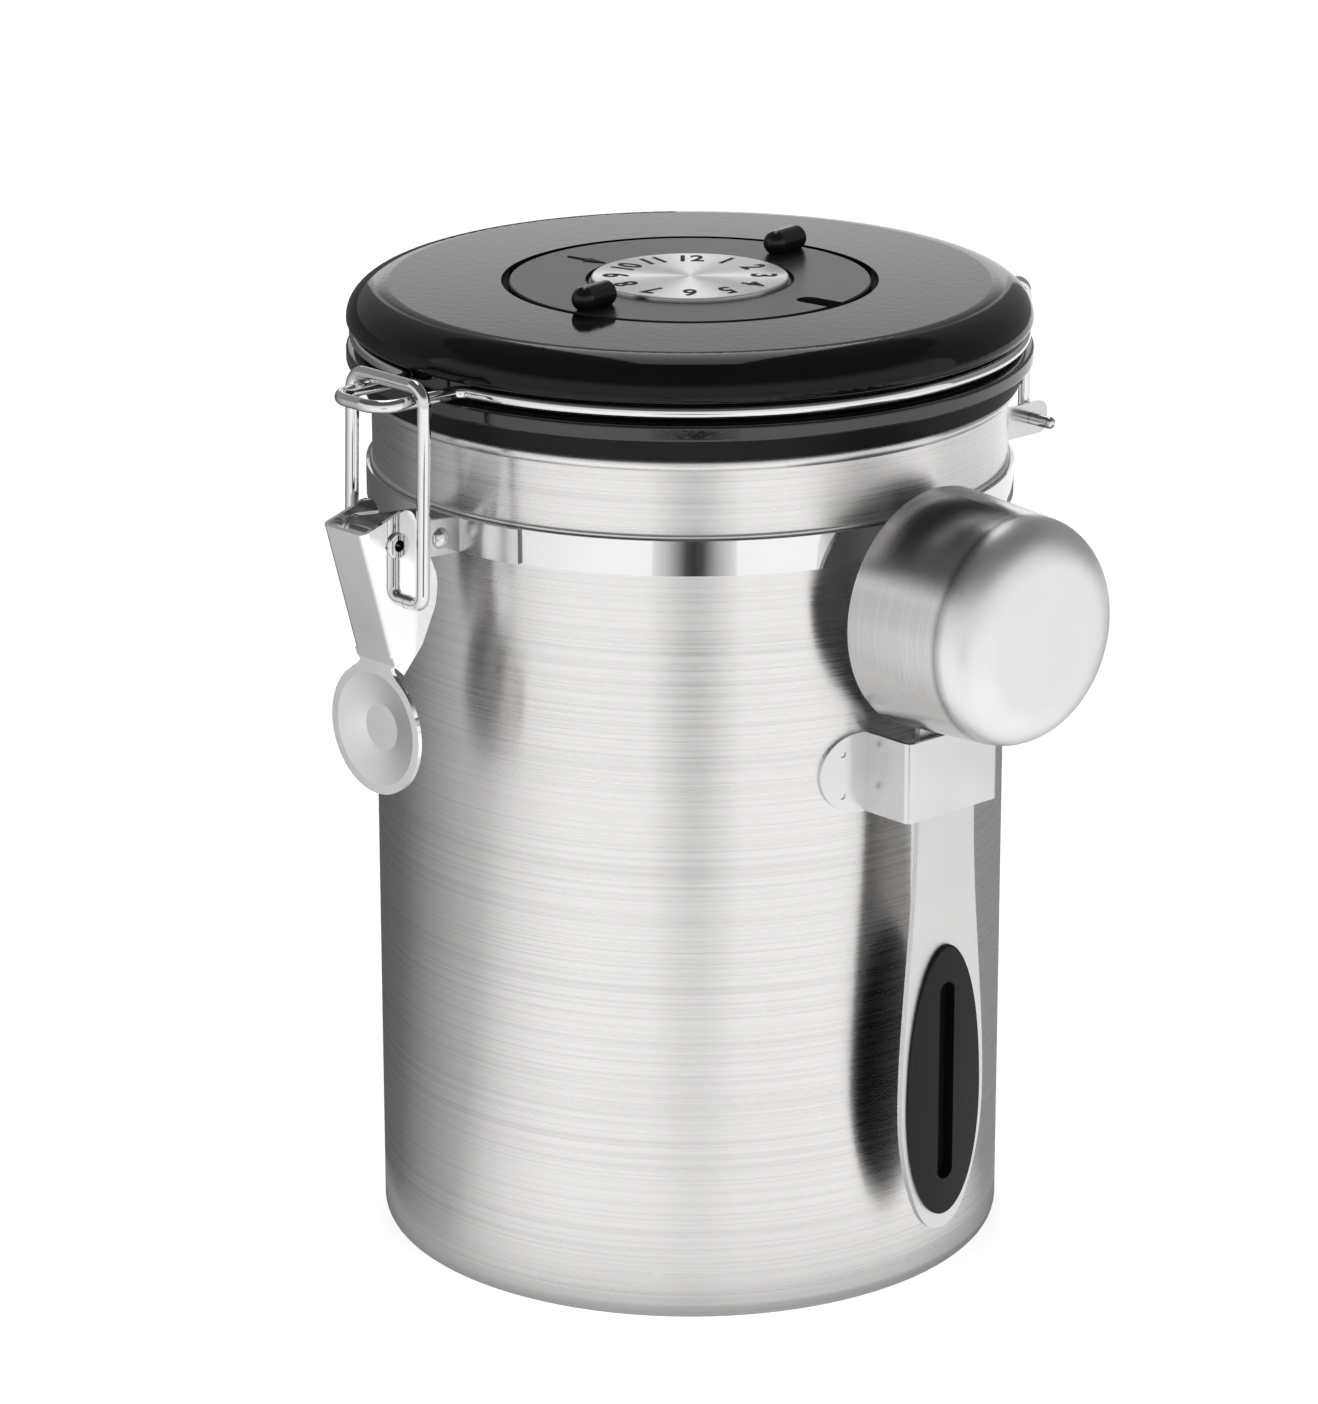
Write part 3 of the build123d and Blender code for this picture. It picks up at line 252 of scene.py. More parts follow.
PROPERTY_GROUPS = (CanisterFinishes, CanisterSizes, CanisterStudio)


class Value:
    """Output of a shader node. Arithmetic on it adds Math nodes."""

    def __init__(self, finish, socket):
        self.finish = finish
        self.socket = socket

    def maths(self, operation, *values):
        """Math node on these values."""
        return self.finish.node("ShaderNodeMath", {"operation": operation}, dict(enumerate(values)))

    def __add__(self, other):
        return self.maths("ADD", self, other)

    def __sub__(self, other):
        return self.maths("SUBTRACT", self, other)

    def __rsub__(self, other):
        return self.maths("SUBTRACT", other, self)

    def __mul__(self, other):
        return self.maths("MULTIPLY", self, other)

    def __truediv__(self, other):
        return self.maths("DIVIDE", self, other)


class Finish:
    """Material under construction, with its uniform values on the shader's own sockets."""

    def __init__(self, name, base_colour, roughness, **uniform):
        self.material = bpy.data.materials.new(name)
        self.material.use_nodes = True
        self.tree = self.material.node_tree
        self.shader = self.tree.nodes["Principled BSDF"]
        self.set("Base Color", (*base_colour, 1.0))
        self.set("Roughness", roughness)
        for words, value in uniform.items():
            self.set(words.replace("_", " ").title().replace("Ior", "IOR"), value)
        self.place = self.node("ShaderNodeTexCoord", output="Object")

    def node(self, kind, settings=None, sockets=None, output=0):
        """Node of a kind, with its settings first and then the values or links of its sockets."""
        made = self.tree.nodes.new(kind)
        for name, value in (settings or {}).items():
            if name == "stops":
                self.set_stops(made.color_ramp, value)
            else:
                setattr(made, name, value)
        for key, value in (sockets or {}).items():
            self.feed(made.inputs[key], value)
        return Value(self, made.outputs[output])

    def set_stops(self, ramp, stops):
        """Stops of a colour ramp, as pairs of place and grey level."""
        while len(ramp.elements) < len(stops):
            ramp.elements.new(1.0)
        for element, (place, level) in zip(ramp.elements, stops):
            element.position = place
            element.color = (level, level, level, 1.0)

    def feed(self, socket, value):
        """Links a value to a socket, or writes a number or colour on it."""
        if isinstance(value, Value):
            self.tree.links.new(value.socket, socket)
        else:
            socket.default_value = value

    def set(self, name, value):
        """One of the shader's own sockets."""
        self.feed(self.shader.inputs[name], value)

    def fade(self, share):
        """Lets a share of the light pass straight through."""
        clear = self.node("ShaderNodeBsdfTransparent")
        shaded = Value(self, self.shader.outputs["BSDF"])
        faded = self.node("ShaderNodeMixShader", None, {0: share, 1: shaded, 2: clear})
        self.feed(self.tree.nodes["Material Output"].inputs["Surface"], faded)

    def stretched(self, x, y, z):
        """Object coordinates, scaled along each axis."""
        return self.node("ShaderNodeMapping", None, {"Vector": self.place, "Scale": (x, y, z)})

    def along(self, place, vector):
        """How far a place lies along a vector."""
        sockets = {0: place, 1: vector}
        return self.node("ShaderNodeVectorMath", {"operation": "DOT_PRODUCT"}, sockets, "Value")

    def reach(self, place):
        """Distance of a place from the origin."""
        return self.node("ShaderNodeVectorMath", {"operation": "LENGTH"}, {0: place}, "Value")

    def noise(self, vector, scale=1.0, detail=2.0, roughness=0.5, distortion=0.0):
        """Noise from 0 to 1."""
        sockets = {
            "Vector": vector,
            "Scale": scale,
            "Detail": detail,
            "Roughness": roughness,
            "Distortion": distortion,
        }
        return self.node("ShaderNodeTexNoise", None, sockets, "Fac")

    def ramp(self, value, *stops):
        """Value sent through a ramp of grey levels."""
        return self.node("ShaderNodeValToRGB", {"stops": stops}, {"Fac": value}, "Color")

    def blend(self, mask, first, second):
        """Mix of two colours by a mask, each given as three numbers or as a value."""
        first, second = (end if isinstance(end, Value) else (*end, 1.0) for end in (first, second))
        sockets = {MIX_FACTOR: mask, MIX_FIRST: first, MIX_SECOND: second}
        return self.node("ShaderNodeMix", {"data_type": "RGBA"}, sockets, MIX_RESULT)

    def mottle(self, mask, base, dark, light):
        """Base Color that a mask takes from a dark to a light share of one colour."""
        self.set("Base Color", self.blend(mask, shade(base, dark), shade(base, light)))

    def roughen(self, middle, *layers):
        """Roughness that varies round a middle, by pairs of a mask and its spread."""
        varied = middle - sum(spread for _, spread in layers) / 2
        for mask, spread in layers:
            varied = mask * spread + varied
        self.set("Roughness", varied)

    def bump(self, height, depth, strength):
        """Bump of a real depth on the shader's normal."""
        sockets = {"Strength": strength, "Distance": depth, "Height": height}
        self.set("Normal", self.node("ShaderNodeBump", None, sockets, "Normal"))


def shade(base, share):
    """Colour made darker or lighter by a share."""
    return tuple(min(1.0, part * share) for part in base)


def brushed_steel():
    """Steel brushed round the can: long fine lines of uneven depth."""
    look = bpy.context.scene.canister_finishes
    steel = Finish(
        "brushed_body", look.brushed, look.brushed_roughness,
        metallic=1.0, anisotropic=look.brushed_anisotropy, anisotropic_rotation=0.25,
    )

    def brush(shortness, fineness, detail=0.0):
        """Brush lines, shorter and finer than the main ones by these factors."""
        along = shortness / look.brush_length
        return steel.noise(steel.stretched(along, along, fineness / look.brush_pitch), detail=detail)

    fine = brush(shortness=1, fineness=1)
    broad = brush(shortness=0.5, fineness=0.3, detail=1.0)
    deep = brush(shortness=1.5, fineness=0.75)
    broad_share = 0.07
    lines = fine * (1 - broad_share) + broad * broad_share
    lines = lines * steel.ramp(deep, (0.18, 0.65), (0.27, 1))
    steel.mottle(steel.ramp(lines, (0.2, 0), (0.62, 1)), look.brushed, dark=0.89, light=1.05)
    steel.roughen(look.brushed_roughness, (lines, 0.08))
    steel.bump(lines, depth=0.01 * MM, strength=0.08)
    return steel.material


def polished_steel():
    """Bright polished steel with faint waves and polishing marks."""
    look = bpy.context.scene.canister_finishes
    steel = Finish("polished_steel", look.polished, look.polished_roughness, metallic=1.0)
    marks = steel.noise(steel.place, scale=900.0, detail=4.0, roughness=0.7)
    waves = steel.noise(steel.place, scale=70.0)
    steel.mottle(waves, look.polished, dark=0.93, light=1.0)
    steel.roughen(look.polished_roughness, (marks, 0.06))
    steel.bump(waves, depth=0.2 * MM, strength=0.3)
    return steel.material


def pressed_steel(name, base, roughness):
    """Folded and pressed steel, bright with soft clouds where the tool rubbed."""
    steel = Finish(name, base, roughness, metallic=1.0)
    marks = steel.noise(steel.stretched(1500, 1500, 300), detail=3.0, roughness=0.6)
    clouds = steel.noise(steel.place, scale=55.0)
    steel.mottle(clouds, base, dark=0.8, light=1.15)
    steel.roughen(roughness, (marks, 0.4 * roughness), (clouds, 0.8 * roughness))
    steel.bump(clouds, depth=0.35 * MM, strength=0.4)
    return steel.material


def turned_cup(cup_end):
    """Scoop's cup: a turned wall with fine rings, a painted dark line at its corner that stands in for the
    dark reflection there, and a tumbled satin face.
    """
    look = bpy.context.scene.canister_finishes
    steel = Finish("cup_steel", look.satin, look.satin_roughness, metallic=1.0)
    wall_end = cup_end - 2 * look.cup_corner
    past_wall = (steel.along(steel.place, (1, 0, 0)) - wall_end) / look.cup_corner
    face = steel.ramp(past_wall, (0.0, 0.0), (1.0, 1.0))
    # Painted shade: a dark ring where the wall turns into the face, in place of the dark reflection that the
    # corner shows.
    line = steel.ramp(past_wall * 0.5 + 0.5, (0.42, 0.0), (0.56, 0.8), (0.78, 0.0))
    rings = steel.noise(steel.stretched(3500, 60, 60))
    grain = steel.noise(steel.place, scale=2600.0, detail=3.0, roughness=0.6)
    clouds = steel.noise(steel.place, scale=130.0, detail=3.0)
    mixed = clouds * face + rings * (1 - face)
    # The wall's colours are darker than the face's as painted shade for what the wall mirrors.
    dark = steel.blend(face, shade(look.wall, 0.85), shade(look.satin, 0.94))
    light = steel.blend(face, shade(look.wall, 1.1), shade(look.satin, 1.04))
    metal = steel.blend(mixed, dark, light)
    # The painted dark corner line is laid over the metal's colour here.
    steel.set("Base Color", steel.blend(line, metal, shade(look.wall, 0.4)))
    middle = face * (look.satin_roughness - look.wall_roughness) + look.wall_roughness
    steel.roughen(middle, (mixed, 0.08))
    steel.bump(grain * face + rings * (1 - face), depth=0.02 * MM, strength=0.4)
    return steel.material


def satin_steel():
    """Tumbled satin steel of the scoop's handle."""
    look = bpy.context.scene.canister_finishes
    steel = Finish("satin_steel", look.handle, look.satin_roughness, metallic=1.0)
    grain = steel.noise(steel.place, scale=2600.0, detail=3.0, roughness=0.6)
    clouds = steel.noise(steel.place, scale=90.0, detail=3.0)
    steel.mottle(clouds, look.handle, dark=0.95, light=1.04)
    steel.roughen(look.satin_roughness, (grain, 0.10), (clouds, 0.06))
    steel.bump(grain, depth=0.02 * MM, strength=0.5)
    return steel.material


def spun_steel():
    """Dial steel, spun with fine rings about the can's axis."""
    look = bpy.context.scene.canister_finishes
    steel = Finish(
        "dial_steel", look.spun, look.spun_roughness,
        metallic=1.0, anisotropic=0.95, anisotropic_rotation=0.25,
    )
    radius = steel.reach(steel.stretched(1, 1, 0))
    ring_scale = 9000
    sockets = {"W": radius * ring_scale, "Detail": 2.0}
    rings = steel.node("ShaderNodeTexNoise", {"noise_dimensions": "1D"}, sockets, "Fac")
    steel.mottle(rings, look.spun, dark=0.90, light=1.05)
    steel.roughen(look.spun_roughness, (rings, 0.12))
    steel.bump(rings, depth=0.02 * MM, strength=0.4)
    return steel.material


def moulded(name, base, roughness, grain, **uniform):
    """Moulded plastic or rubber with a grain of its own, given as scale and depth."""
    plastic = Finish(name, base, roughness, **uniform)
    scale, depth = grain
    texture = plastic.noise(plastic.place, scale=scale, detail=3.0, roughness=0.55)
    clouds = plastic.noise(plastic.place, scale=60.0)
    plastic.mottle(clouds, base, dark=0.9, light=1.12)
    plastic.roughen(roughness, (texture, 0.06))
    plastic.bump(texture, depth=depth, strength=1.0)
    return plastic.material


def felt():
    """Pressed fibre of the filter pad."""
    look = bpy.context.scene.canister_finishes
    cloth = Finish("filter_felt", look.felt, look.felt_roughness, sheen_weight=0.3)
    fibres = cloth.noise(cloth.place, scale=1800.0, detail=4.0, roughness=0.75, distortion=1.5)
    cloth.mottle(fibres, look.felt, dark=0.78, light=1.0)
    cloth.bump(fibres, depth=0.15 * MM, strength=0.8)
    return cloth.material


def ink():
    """Print of the dial's numbers, and the fine arrow on the disc."""
    look = bpy.context.scene.canister_finishes
    return moulded("dial_print", look.print_ink, look.print_roughness, PRINT_GRAIN, specular_ior_level=0.1)


def dress(material, *names):
    """Puts a material in the one slot that each frame node has."""
    for name in names:
        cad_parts[name].material_slots[0].material = material


def deselect_all():
    """Nothing selected, nothing active."""
    bpy.ops.object.select_all(action="DESELECT")
    bpy.context.view_layer.objects.active = None


def hold(piece):
    """Selects one object alone and makes it the active one."""
    deselect_all()
    piece.select_set(True)
    bpy.context.view_layer.objects.active = piece


def named(name):
    """The active object, under a new name."""
    piece = bpy.context.object
    piece.name = name
    piece.data.name = name
    return piece


def settle(piece):
    """Moves an object's place, turn and scale into its mesh."""
    hold(piece)
    bpy.ops.object.transform_apply(location=True, rotation=True, scale=True)


def finish_piece(piece, body, material):
    """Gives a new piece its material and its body."""
    piece.data.materials.clear()
    piece.data.materials.append(material)
    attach(piece, body)


class CanisterStep:
    """What all the operators here share."""

    bl_options = {"REGISTER", "UNDO"}


class CANISTER_OT_studio(CanisterStep, bpy.types.Operator):
    """Floor, studio walls, lamps, cards and camera"""

    bl_idname = "canister.studio"
    bl_label = "Studio"

    def execute(self, context):
        studio = context.scene.canister_studio
        self.floor(studio)
        self.walls(context, studio)
        self.camera(context, studio)
        for name, settings in LAMPS.items():
            self.lamp(studio, name, **settings)
        self.wrap(studio, "wrap_left", -1, studio.left_height, studio.left_end)
        self.wrap(studio, "wrap_right", 1, studio.right_height, studio.right_end, studio.right_lift)
        self.foot_ring(studio)
        self.front_card(studio)
        self.back_card(studio)
        self.flag(studio, "flag_right", -1)
        self.flag(studio, "flag_left", 1)
        context.scene.view_settings.view_transform = "Standard"
        return {"FINISHED"}

    def towards(self, studio, azimuth):
        """Angle about +Z of a direction given as degrees to the right of the camera."""
        return studio.camera_azimuth - pi / 2 + radians(azimuth)

    def front(self, studio):
        """Level direction from the can to the camera."""
        turn = self.towards(studio, 0)
        return Vector((cos(turn), sin(turn), 0))

    def floor(self, studio):
        """Round white floor, made brighter where it is seen or mirrored."""
        deselect_all()
        bpy.ops.mesh.primitive_circle_add(
            vertices=FLOOR_SIDES, radius=studio.floor_radius, fill_type="NGON"
        )
        floor = named("floor")
        paper = Finish(
            "floor_paper", studio.floor, roughness=0.9,
            specular_ior_level=0.0, emission_strength=studio.floor_lift,
        )
        path = paper.tree.nodes.new("ShaderNodeLightPath")
        seen = Value(paper, path.outputs["Is Camera Ray"])
        for kind in ("Is Glossy Ray", "Is Transmission Ray"):
            seen = seen.maths("MAXIMUM", seen, Value(paper, path.outputs[kind]))
        paper.set("Emission Color", seen)
        floor.data.materials.append(paper.material)

    def walls(self, context, studio):
        """Studio that is bright round the horizon and dim overhead."""
        world = bpy.data.worlds.new("studio")
        context.scene.world = world
        world.use_nodes = True
        tree = world.node_tree
        place = tree.nodes.new("ShaderNodeTexCoord")
        parts = tree.nodes.new("ShaderNodeSeparateXYZ")
        level = tree.nodes.new("ShaderNodeMapRange")
        level.interpolation_type = "SMOOTHSTEP"
        tree.links.new(place.outputs["Generated"], parts.inputs["Vector"])
        tree.links.new(parts.outputs["Z"], level.inputs["Value"])
        level.inputs["From Min"].default_value = sin(studio.dim_start)
        level.inputs["From Max"].default_value = sin(studio.dim_end)
        level.inputs["To Min"].default_value = studio.horizon
        level.inputs["To Max"].default_value = studio.ceiling
        back = tree.nodes["Background"]
        tree.links.new(level.outputs["Result"], back.inputs["Strength"])
        back.inputs["Color"].default_value = (1, 1, 1, 1)

    def camera(self, context, studio):
        """Camera of the photograph, aimed at a point on the can's axis and then trimmed."""
        place = Matrix.Rotation(studio.camera_azimuth, 4, "Z")
        tilt = Matrix.Rotation(pi / 2 - studio.camera_elevation, 4, "X")
        away = place @ tilt @ Vector((0, 0, studio.camera_distance))
        stand = Matrix.Translation(away + Vector((0, 0, studio.camera_aim)))
        trim = Matrix.Rotation(studio.camera_yaw, 4, "Y") @ Matrix.Rotation(studio.camera_pitch, 4, "X")
        bpy.ops.object.camera_add()
        camera = bpy.context.object
        camera.name = "camera"
        camera.matrix_world = stand @ place @ tilt @ trim
        camera.data.sensor_fit = "VERTICAL"
        camera.data.sensor_height = studio.sensor
        camera.data.lens = studio.lens
        context.scene.camera = camera

    def lamp(self, studio, name, azimuth, elevation, distance, width, height, brightness, mirrored):
        """Soft box that faces the can's middle. Where it isn't mirrored, reflections leave it out."""
        turn = self.towards(studio, azimuth)
        rise = radians(elevation)
        away = Vector((cos(turn) * cos(rise), sin(turn) * cos(rise), sin(rise))) * distance * MM
        bpy.ops.object.light_add(type="AREA", location=away + Vector((0, 0, studio.camera_aim)))
        lamp = bpy.context.object
        lamp.name = "lamp_" + name
        lamp.rotation_euler = away.to_track_quat("Z", "Y").to_euler()
        lamp.data.shape = "RECTANGLE"
        lamp.data.size = width * MM
        lamp.data.size_y = height * MM
        lamp.data.energy = brightness * pi * lamp.data.size * lamp.data.size_y
        lamp.visible_camera = False
        lamp.visible_glossy = mirrored

    def mirrored_only(self, card, shading):
        """Gives a card its shading, and lets only reflections show it."""
        card.data.materials.append(shading.material)
        card.visible_camera = False
        card.visible_diffuse = False
        card.visible_shadow = False

    def glow(self, name, brightness=1.0):
        """Dull black finish that gives off light, shaded by its emission colour."""
        return Finish(
            name, (0, 0, 0), roughness=1.0,
            specular_ior_level=0.0, emission_color=(1, 1, 1, 1), emission_strength=brightness,
        )

    def round_can(self, studio, shading):
        """Distance from the can's axis, and how far that leads towards the camera."""
        flat = shading.stretched(1, 1, 0)
        return shading.reach(flat), shading.along(flat, self.front(studio))

    def wrap(self, studio, name, side, height, end, lift=0.0):
        """Funnel-shaped card round one side of the can, light towards the camera and dark behind."""
        funnel = self.funnel(studio, name, side, height, end)
        shading = self.glow("wrap_card", studio.wrap_light)
        reach, ahead = self.round_can(studio, shading)
        level = shading.ramp((ahead - studio.wrap_shift) / reach * 0.5 + 0.5, *WRAP_SHADING)
        lightened = shading.ramp(ahead / reach * 0.5 + 0.5, *WRAP_LIFTED) * lift
        shading.set("Emission Color", level * (1 - lightened) + lightened)
        shading.fade(shading.ramp(ahead / reach, (end - studio.wrap_fade, 0.0), (end, 1.0)))
        self.mirrored_only(funnel, shading)

    def funnel(self, studio, name, side, height, end):
        """Half of a funnel that opens upwards, cut off at a cosine from the camera."""
        deselect_all()
        bpy.ops.mesh.primitive_cone_add(
            vertices=CARD_SIDES, depth=height, end_fill_type="NOTHING",
            radius1=studio.wrap_foot, radius2=studio.wrap_foot + height * studio.wrap_slope,
            location=(0, 0, height / 2 + studio.wrap_gap),
        )
        funnel = named(name)
        settle(funnel)
        front = self.front(studio)
        aside = Vector((-front.y, front.x, 0)) * side
        bpy.ops.object.mode_set(mode="EDIT")
        bpy.ops.mesh.select_mode(type="FACE")
        bpy.ops.mesh.select_all(action="DESELECT")
        mesh = bmesh.from_edit_mesh(funnel.data)
        for face in mesh.faces:
            middle = face.calc_center_median()
            middle.z = 0
            face.select = middle.normalized().dot(front) > end or middle.dot(aside) < 0
        bmesh.update_edit_mesh(funnel.data)
        bpy.ops.mesh.delete(type="FACE")
        bpy.ops.object.mode_set(mode="OBJECT")
        return funnel

    def foot_ring(self, studio):
        """Card on the floor, dark under the can and light round it, that darkens the can's lower corner."""
        deselect_all()
        bpy.ops.mesh.primitive_circle_add(
            vertices=CARD_SIDES, radius=studio.ring_radius, fill_type="NGON",
            location=(0, 0, studio.ring_height),
        )
        ring = named("foot_ring")
        settle(ring)
        shading = self.glow("foot_ring")
        reach, ahead = self.round_can(studio, shading)
        dark = shading.ramp(ahead / reach * 0.5 + 0.5, *RING_SHADING)
        light = shading.ramp(reach / studio.ring_radius, (studio.ring_dark, 0.0), (1.0, 1.0))
        shading.set("Emission Color", dark * (1 - light) + light)
        self.mirrored_only(ring, shading)

    def front_card(self, studio):
        """Card under the camera, dark in its middle, that parts the band's highlight."""
        shading = self.glow("soft_card")
        turn = self.towards(studio, 0) + studio.card_angle + pi / 2
        aside = Vector((cos(turn), sin(turn), 0)) * 2 / studio.card_width
        side = shading.along(shading.place, aside)
        level = shading.ramp(side.maths("ABSOLUTE", side), *FRONT_CARD_SHADING)
        shading.set("Emission Color", level)
        size = (studio.card_width, studio.card_height)
        self.upright_card(studio, "soft_card", studio.card_angle, studio.card_radius, size, shading)

    def back_card(self, studio):
        """Card behind the can that the lid's top mirrors, lighter low down than high up."""
        shading = self.glow("back_card", studio.back_light)
        rise = shading.along(shading.place, Vector((0, 0, 1)) / studio.back_height)
        shading.set("Emission Color", shading.ramp(rise, *BACK_CARD_SHADING))
        size = (studio.back_width, studio.back_height)
        self.upright_card(studio, "back_card", pi, studio.back_distance, size, shading)

    def flag(self, studio, name, side):
        """Dark flag beside the back wall's middle."""
        size = (studio.flag_width, studio.flag_height)
        turn = pi + side * studio.flag_angle
        shading = self.glow(name, studio.flag_light)
        self.upright_card(studio, name, turn, studio.flag_distance, size, shading)

    def upright_card(self, studio, name, turn, distance, size, shading):
        """Card that stands on the floor and faces the can, turned about +Z from the camera."""
        width, height = size
        deselect_all()
        bpy.ops.mesh.primitive_plane_add(size=1)
        card = named(name)
        card.matrix_world = (
            Matrix.Rotation(self.towards(studio, 0) + turn, 4, "Z")
            @ Matrix.Translation((distance, 0, height / 2))
            @ Matrix.Rotation(pi / 2, 4, "Y")
            @ Matrix.Diagonal((height, width, 1, 1))
        )
        settle(card)
        self.mirrored_only(card, shading)


class CANISTER_OT_can(CanisterStep, bpy.types.Operator):
    """Brushed can with its polished band, brackets, rivets and scoop holder"""

    bl_idname = "canister.can"
    bl_label = "Can"

    def execute(self, context):
        look = context.scene.canister_finishes
        sizes = context.scene.canister_sizes
        steel = brushed_steel()
        dress(steel, "can_body")
        rim_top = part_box("can_body")[1].z
        rim_bead = sizes.rim_wire + sizes.rim_cover
        self.bead("rolled_rim", sizes.rim_radius, rim_top - sizes.rim_wire, rim_bead, steel)
        band_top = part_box("neck_band")[1].z
        self.bead("neck_bead", sizes.neck_bead_radius, band_top + sizes.neck_bead, sizes.neck_bead, steel)
        pressed = pressed_steel("pressed_steel", look.pressed, look.pressed_roughness)
        lever = pressed_steel("lever_steel", look.lever, look.lever_roughness)
        dress(polished_steel(), "neck_band", "lever_pivot_rivet", "wire_hoop", "latch_bail")
        dress(pressed, "latch_bracket", "bracket_tie_rivet", "hinge_bracket", "scoop_holder")
        dress(lever, "latch_lever")
        return {"FINISHED"}

    def bead(self, name, radius, height, wire, steel):
        """Rounded bead round the can, spun from its section, which is flattened where it faces the sheet."""
        middle = Vector((radius, 0, height))
        deselect_all()
        bpy.ops.mesh.primitive_circle_add(
            vertices=BEAD_SIDES, radius=wire, location=middle, rotation=(pi / 2, 0, 0)
        )
        ring = named(name)
        settle(ring)
        bpy.ops.object.mode_set(mode="EDIT")
        bpy.ops.mesh.select_mode(type="VERT")
        bpy.ops.mesh.select_all(action="DESELECT")
        mesh = bmesh.from_edit_mesh(ring.data)
        for vertex in mesh.verts:
            if (vertex.co - middle).angle(Vector((-1, 0, 0))) < BEAD_FLAT:
                vertex.co.x = radius - wire * cos(BEAD_FLAT)
        bmesh.update_edit_mesh(ring.data)
        bpy.ops.mesh.select_all(action="SELECT")
        bpy.ops.mesh.spin(steps=BEAD_STEPS, angle=2 * pi, center=(0, 0, 0), axis=(0, 0, 1))
        bpy.ops.mesh.select_all(action="SELECT")
        bpy.ops.mesh.remove_doubles(threshold=MERGE_DISTANCE)
        bpy.ops.mesh.normals_make_consistent(inside=False)
        bpy.ops.object.mode_set(mode="OBJECT")
        bpy.ops.object.shade_smooth()
        finish_piece(ring, "can", steel)


class CANISTER_OT_lid(CanisterStep, bpy.types.Operator):
    """Gloss black lid with its gasket and valve"""

    bl_idname = "canister.lid"
    bl_label = "Lid"

    def execute(self, context):
        look = context.scene.canister_finishes
        cover = moulded("cover_black", look.lid, look.lid_roughness, GLOSS_GRAIN, specular_ior_level=0.2)
        base = moulded("base_black", look.lid, look.lid_roughness, GLOSS_GRAIN, specular_ior_level=0.8)
        seal = moulded(
            "gasket_black", look.gasket, look.gasket_roughness, SEAL_GRAIN, specular_ior_level=0.15
        )
        valve = moulded("valve_plastic", look.valve, look.valve_roughness, VALVE_GRAIN)
        flap = moulded("flap_silicone", look.flap, look.flap_roughness, VALVE_GRAIN)
        dress(cover, "lid_cover")
        dress(base, "lid_base")
        dress(seal, "lid_gasket")
        dress(valve, "valve_housing", "valve_guard", "valve_cap")
        dress(flap, "valve_flap")
        dress(felt(), "valve_filter")
        return {"FINISHED"}


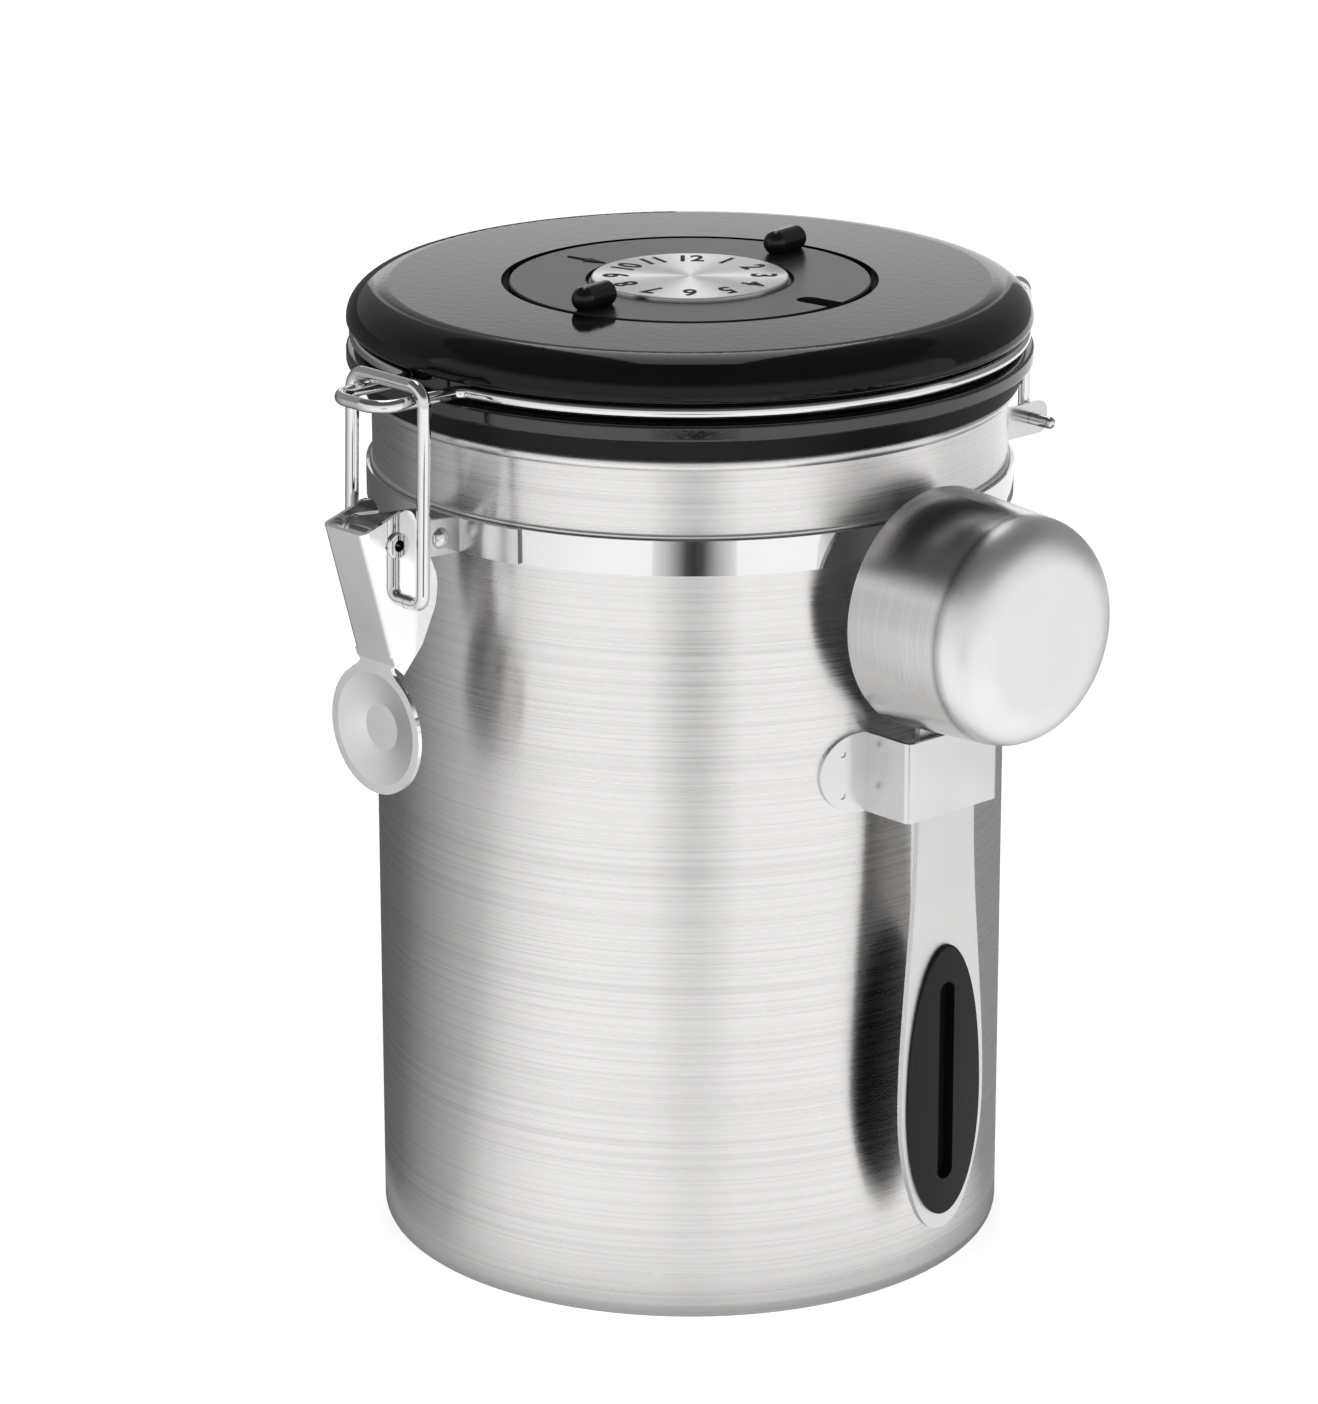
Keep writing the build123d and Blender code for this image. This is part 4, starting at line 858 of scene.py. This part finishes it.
class CANISTER_OT_dial(CanisterStep, bpy.types.Operator):
    """Date disc, finger knobs, spun dial and its numbers"""

    bl_idname = "canister.dial"
    bl_label = "Dial"

    def execute(self, context):
        look = context.scene.canister_finishes
        disc = moulded("disc_black", look.disc, look.disc_roughness, FINE_GRAIN, specular_ior_level=0.14)
        knob = moulded("knob_black", look.knob, look.knob_roughness, FINE_GRAIN, specular_ior_level=0.3)
        dress(disc, "date_disc", "dial_hub")
        dress(knob, "finger_knob_back", "finger_knob_front")
        dress(spun_steel(), "month_dial")
        self.numbers(context.scene.canister_sizes)
        self.pointer(context.scene.canister_sizes)
        return {"FINISHED"}

    def numbers(self, sizes):
        """The months' numbers, printed round the dial with their tops outwards."""
        dial_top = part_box("month_dial")[1].z
        printed = ink()
        for number in range(1, sizes.number_count + 1):
            turn = sizes.top_angle - 2 * pi * number / sizes.number_count
            deselect_all()
            bpy.ops.object.text_add()
            text = bpy.context.object
            text.data.body = str(number)
            text.data.align_x = "CENTER"
            text.data.align_y = "CENTER"
            text.data.size = sizes.number_height / FIGURE_HEIGHT
            text.data.offset = sizes.number_bold
            text.data.extrude = sizes.number_rise / 2
            hold(text)
            bpy.ops.object.convert(target="MESH")
            text = named(f"dial_number_{number}")
            text.matrix_world = (
                Matrix.Rotation(turn, 4, "Z")
                @ Matrix.Translation((sizes.number_radius, 0, dial_top + sizes.number_rise / 2))
                @ Matrix.Rotation(-pi / 2, 4, "Z")
                @ Matrix.Diagonal((sizes.number_width, 1, 1, 1))
            )
            settle(text)
            finish_piece(text, "lid", printed)

    def pointer(self, sizes):
        """Thin raised arrow on the disc that points at the dial, with a tail half as wide as its neck."""
        disc_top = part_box("date_disc")[1].z
        half, head = sizes.pointer_width / 2, sizes.pointer_head / 2
        tail = half / 2
        neck = sizes.pointer_inner + 2 * sizes.pointer_head
        outline = (
            (sizes.pointer_outer, -tail), (neck, -half), (neck, -head),
            (sizes.pointer_inner, 0), (neck, head), (neck, half), (sizes.pointer_outer, tail),
        )
        deselect_all()
        bpy.ops.mesh.primitive_circle_add(vertices=len(outline), radius=MM, fill_type="NGON")
        arrow = named("disc_pointer")
        for vertex, (x, y) in zip(arrow.data.vertices, reversed(outline)):
            vertex.co = (x, y, 0)
        bpy.ops.object.mode_set(mode="EDIT")
        bpy.ops.mesh.select_all(action="SELECT")
        bpy.ops.mesh.extrude_region_move(TRANSFORM_OT_translate={"value": (0, 0, sizes.pointer_rise)})
        bpy.ops.mesh.select_all(action="SELECT")
        bpy.ops.mesh.normals_make_consistent(inside=False)
        bpy.ops.object.mode_set(mode="OBJECT")
        turn = Matrix.Rotation(sizes.pointer_angle, 4, "Z")
        arrow.matrix_world = turn @ Matrix.Translation((0, 0, disc_top))
        settle(arrow)
        finish_piece(arrow, "date_disc", ink())


class CANISTER_OT_scoop(CanisterStep, bpy.types.Operator):
    """Satin scoop with its moulded grip"""

    bl_idname = "canister.scoop"
    bl_label = "Scoop"

    def execute(self, context):
        look = context.scene.canister_finishes
        grip = moulded("grip_black", look.grip, look.grip_roughness, GRIP_GRAIN, specular_ior_level=0.22)
        dress(turned_cup(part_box("scoop_cup")[1].x), "scoop_cup")
        dress(satin_steel(), "scoop_handle")
        dress(grip, "scoop_grip")
        return {"FINISHED"}


STEPS = (CANISTER_OT_studio, CANISTER_OT_can, CANISTER_OT_lid, CANISTER_OT_dial, CANISTER_OT_scoop)


class CANISTER_PT_panel(bpy.types.Panel):
    """Steps that build the canister's looks"""

    bl_idname = "CANISTER_PT_panel"
    bl_label = "Canister"
    bl_space_type = "VIEW_3D"
    bl_region_type = "UI"
    bl_category = "Canister"

    def draw(self, context):
        for step in STEPS:
            self.layout.operator(step.bl_idname)


CLASSES = (*PROPERTY_GROUPS, *STEPS, CANISTER_PT_panel)


def register():
    for item in CLASSES:
        bpy.utils.register_class(item)
    bpy.types.Scene.canister_finishes = PointerProperty(type=CanisterFinishes)
    bpy.types.Scene.canister_sizes = PointerProperty(type=CanisterSizes)
    bpy.types.Scene.canister_studio = PointerProperty(type=CanisterStudio)


def unregister():
    del bpy.types.Scene.canister_studio
    del bpy.types.Scene.canister_sizes
    del bpy.types.Scene.canister_finishes
    for item in reversed(CLASSES):
        bpy.utils.unregister_class(item)


def main():
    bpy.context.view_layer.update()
    register()
    bpy.ops.canister.studio()
    bpy.ops.canister.can()
    bpy.ops.canister.lid()
    bpy.ops.canister.dial()
    bpy.ops.canister.scoop()


if __name__ == "__main__":
    main()
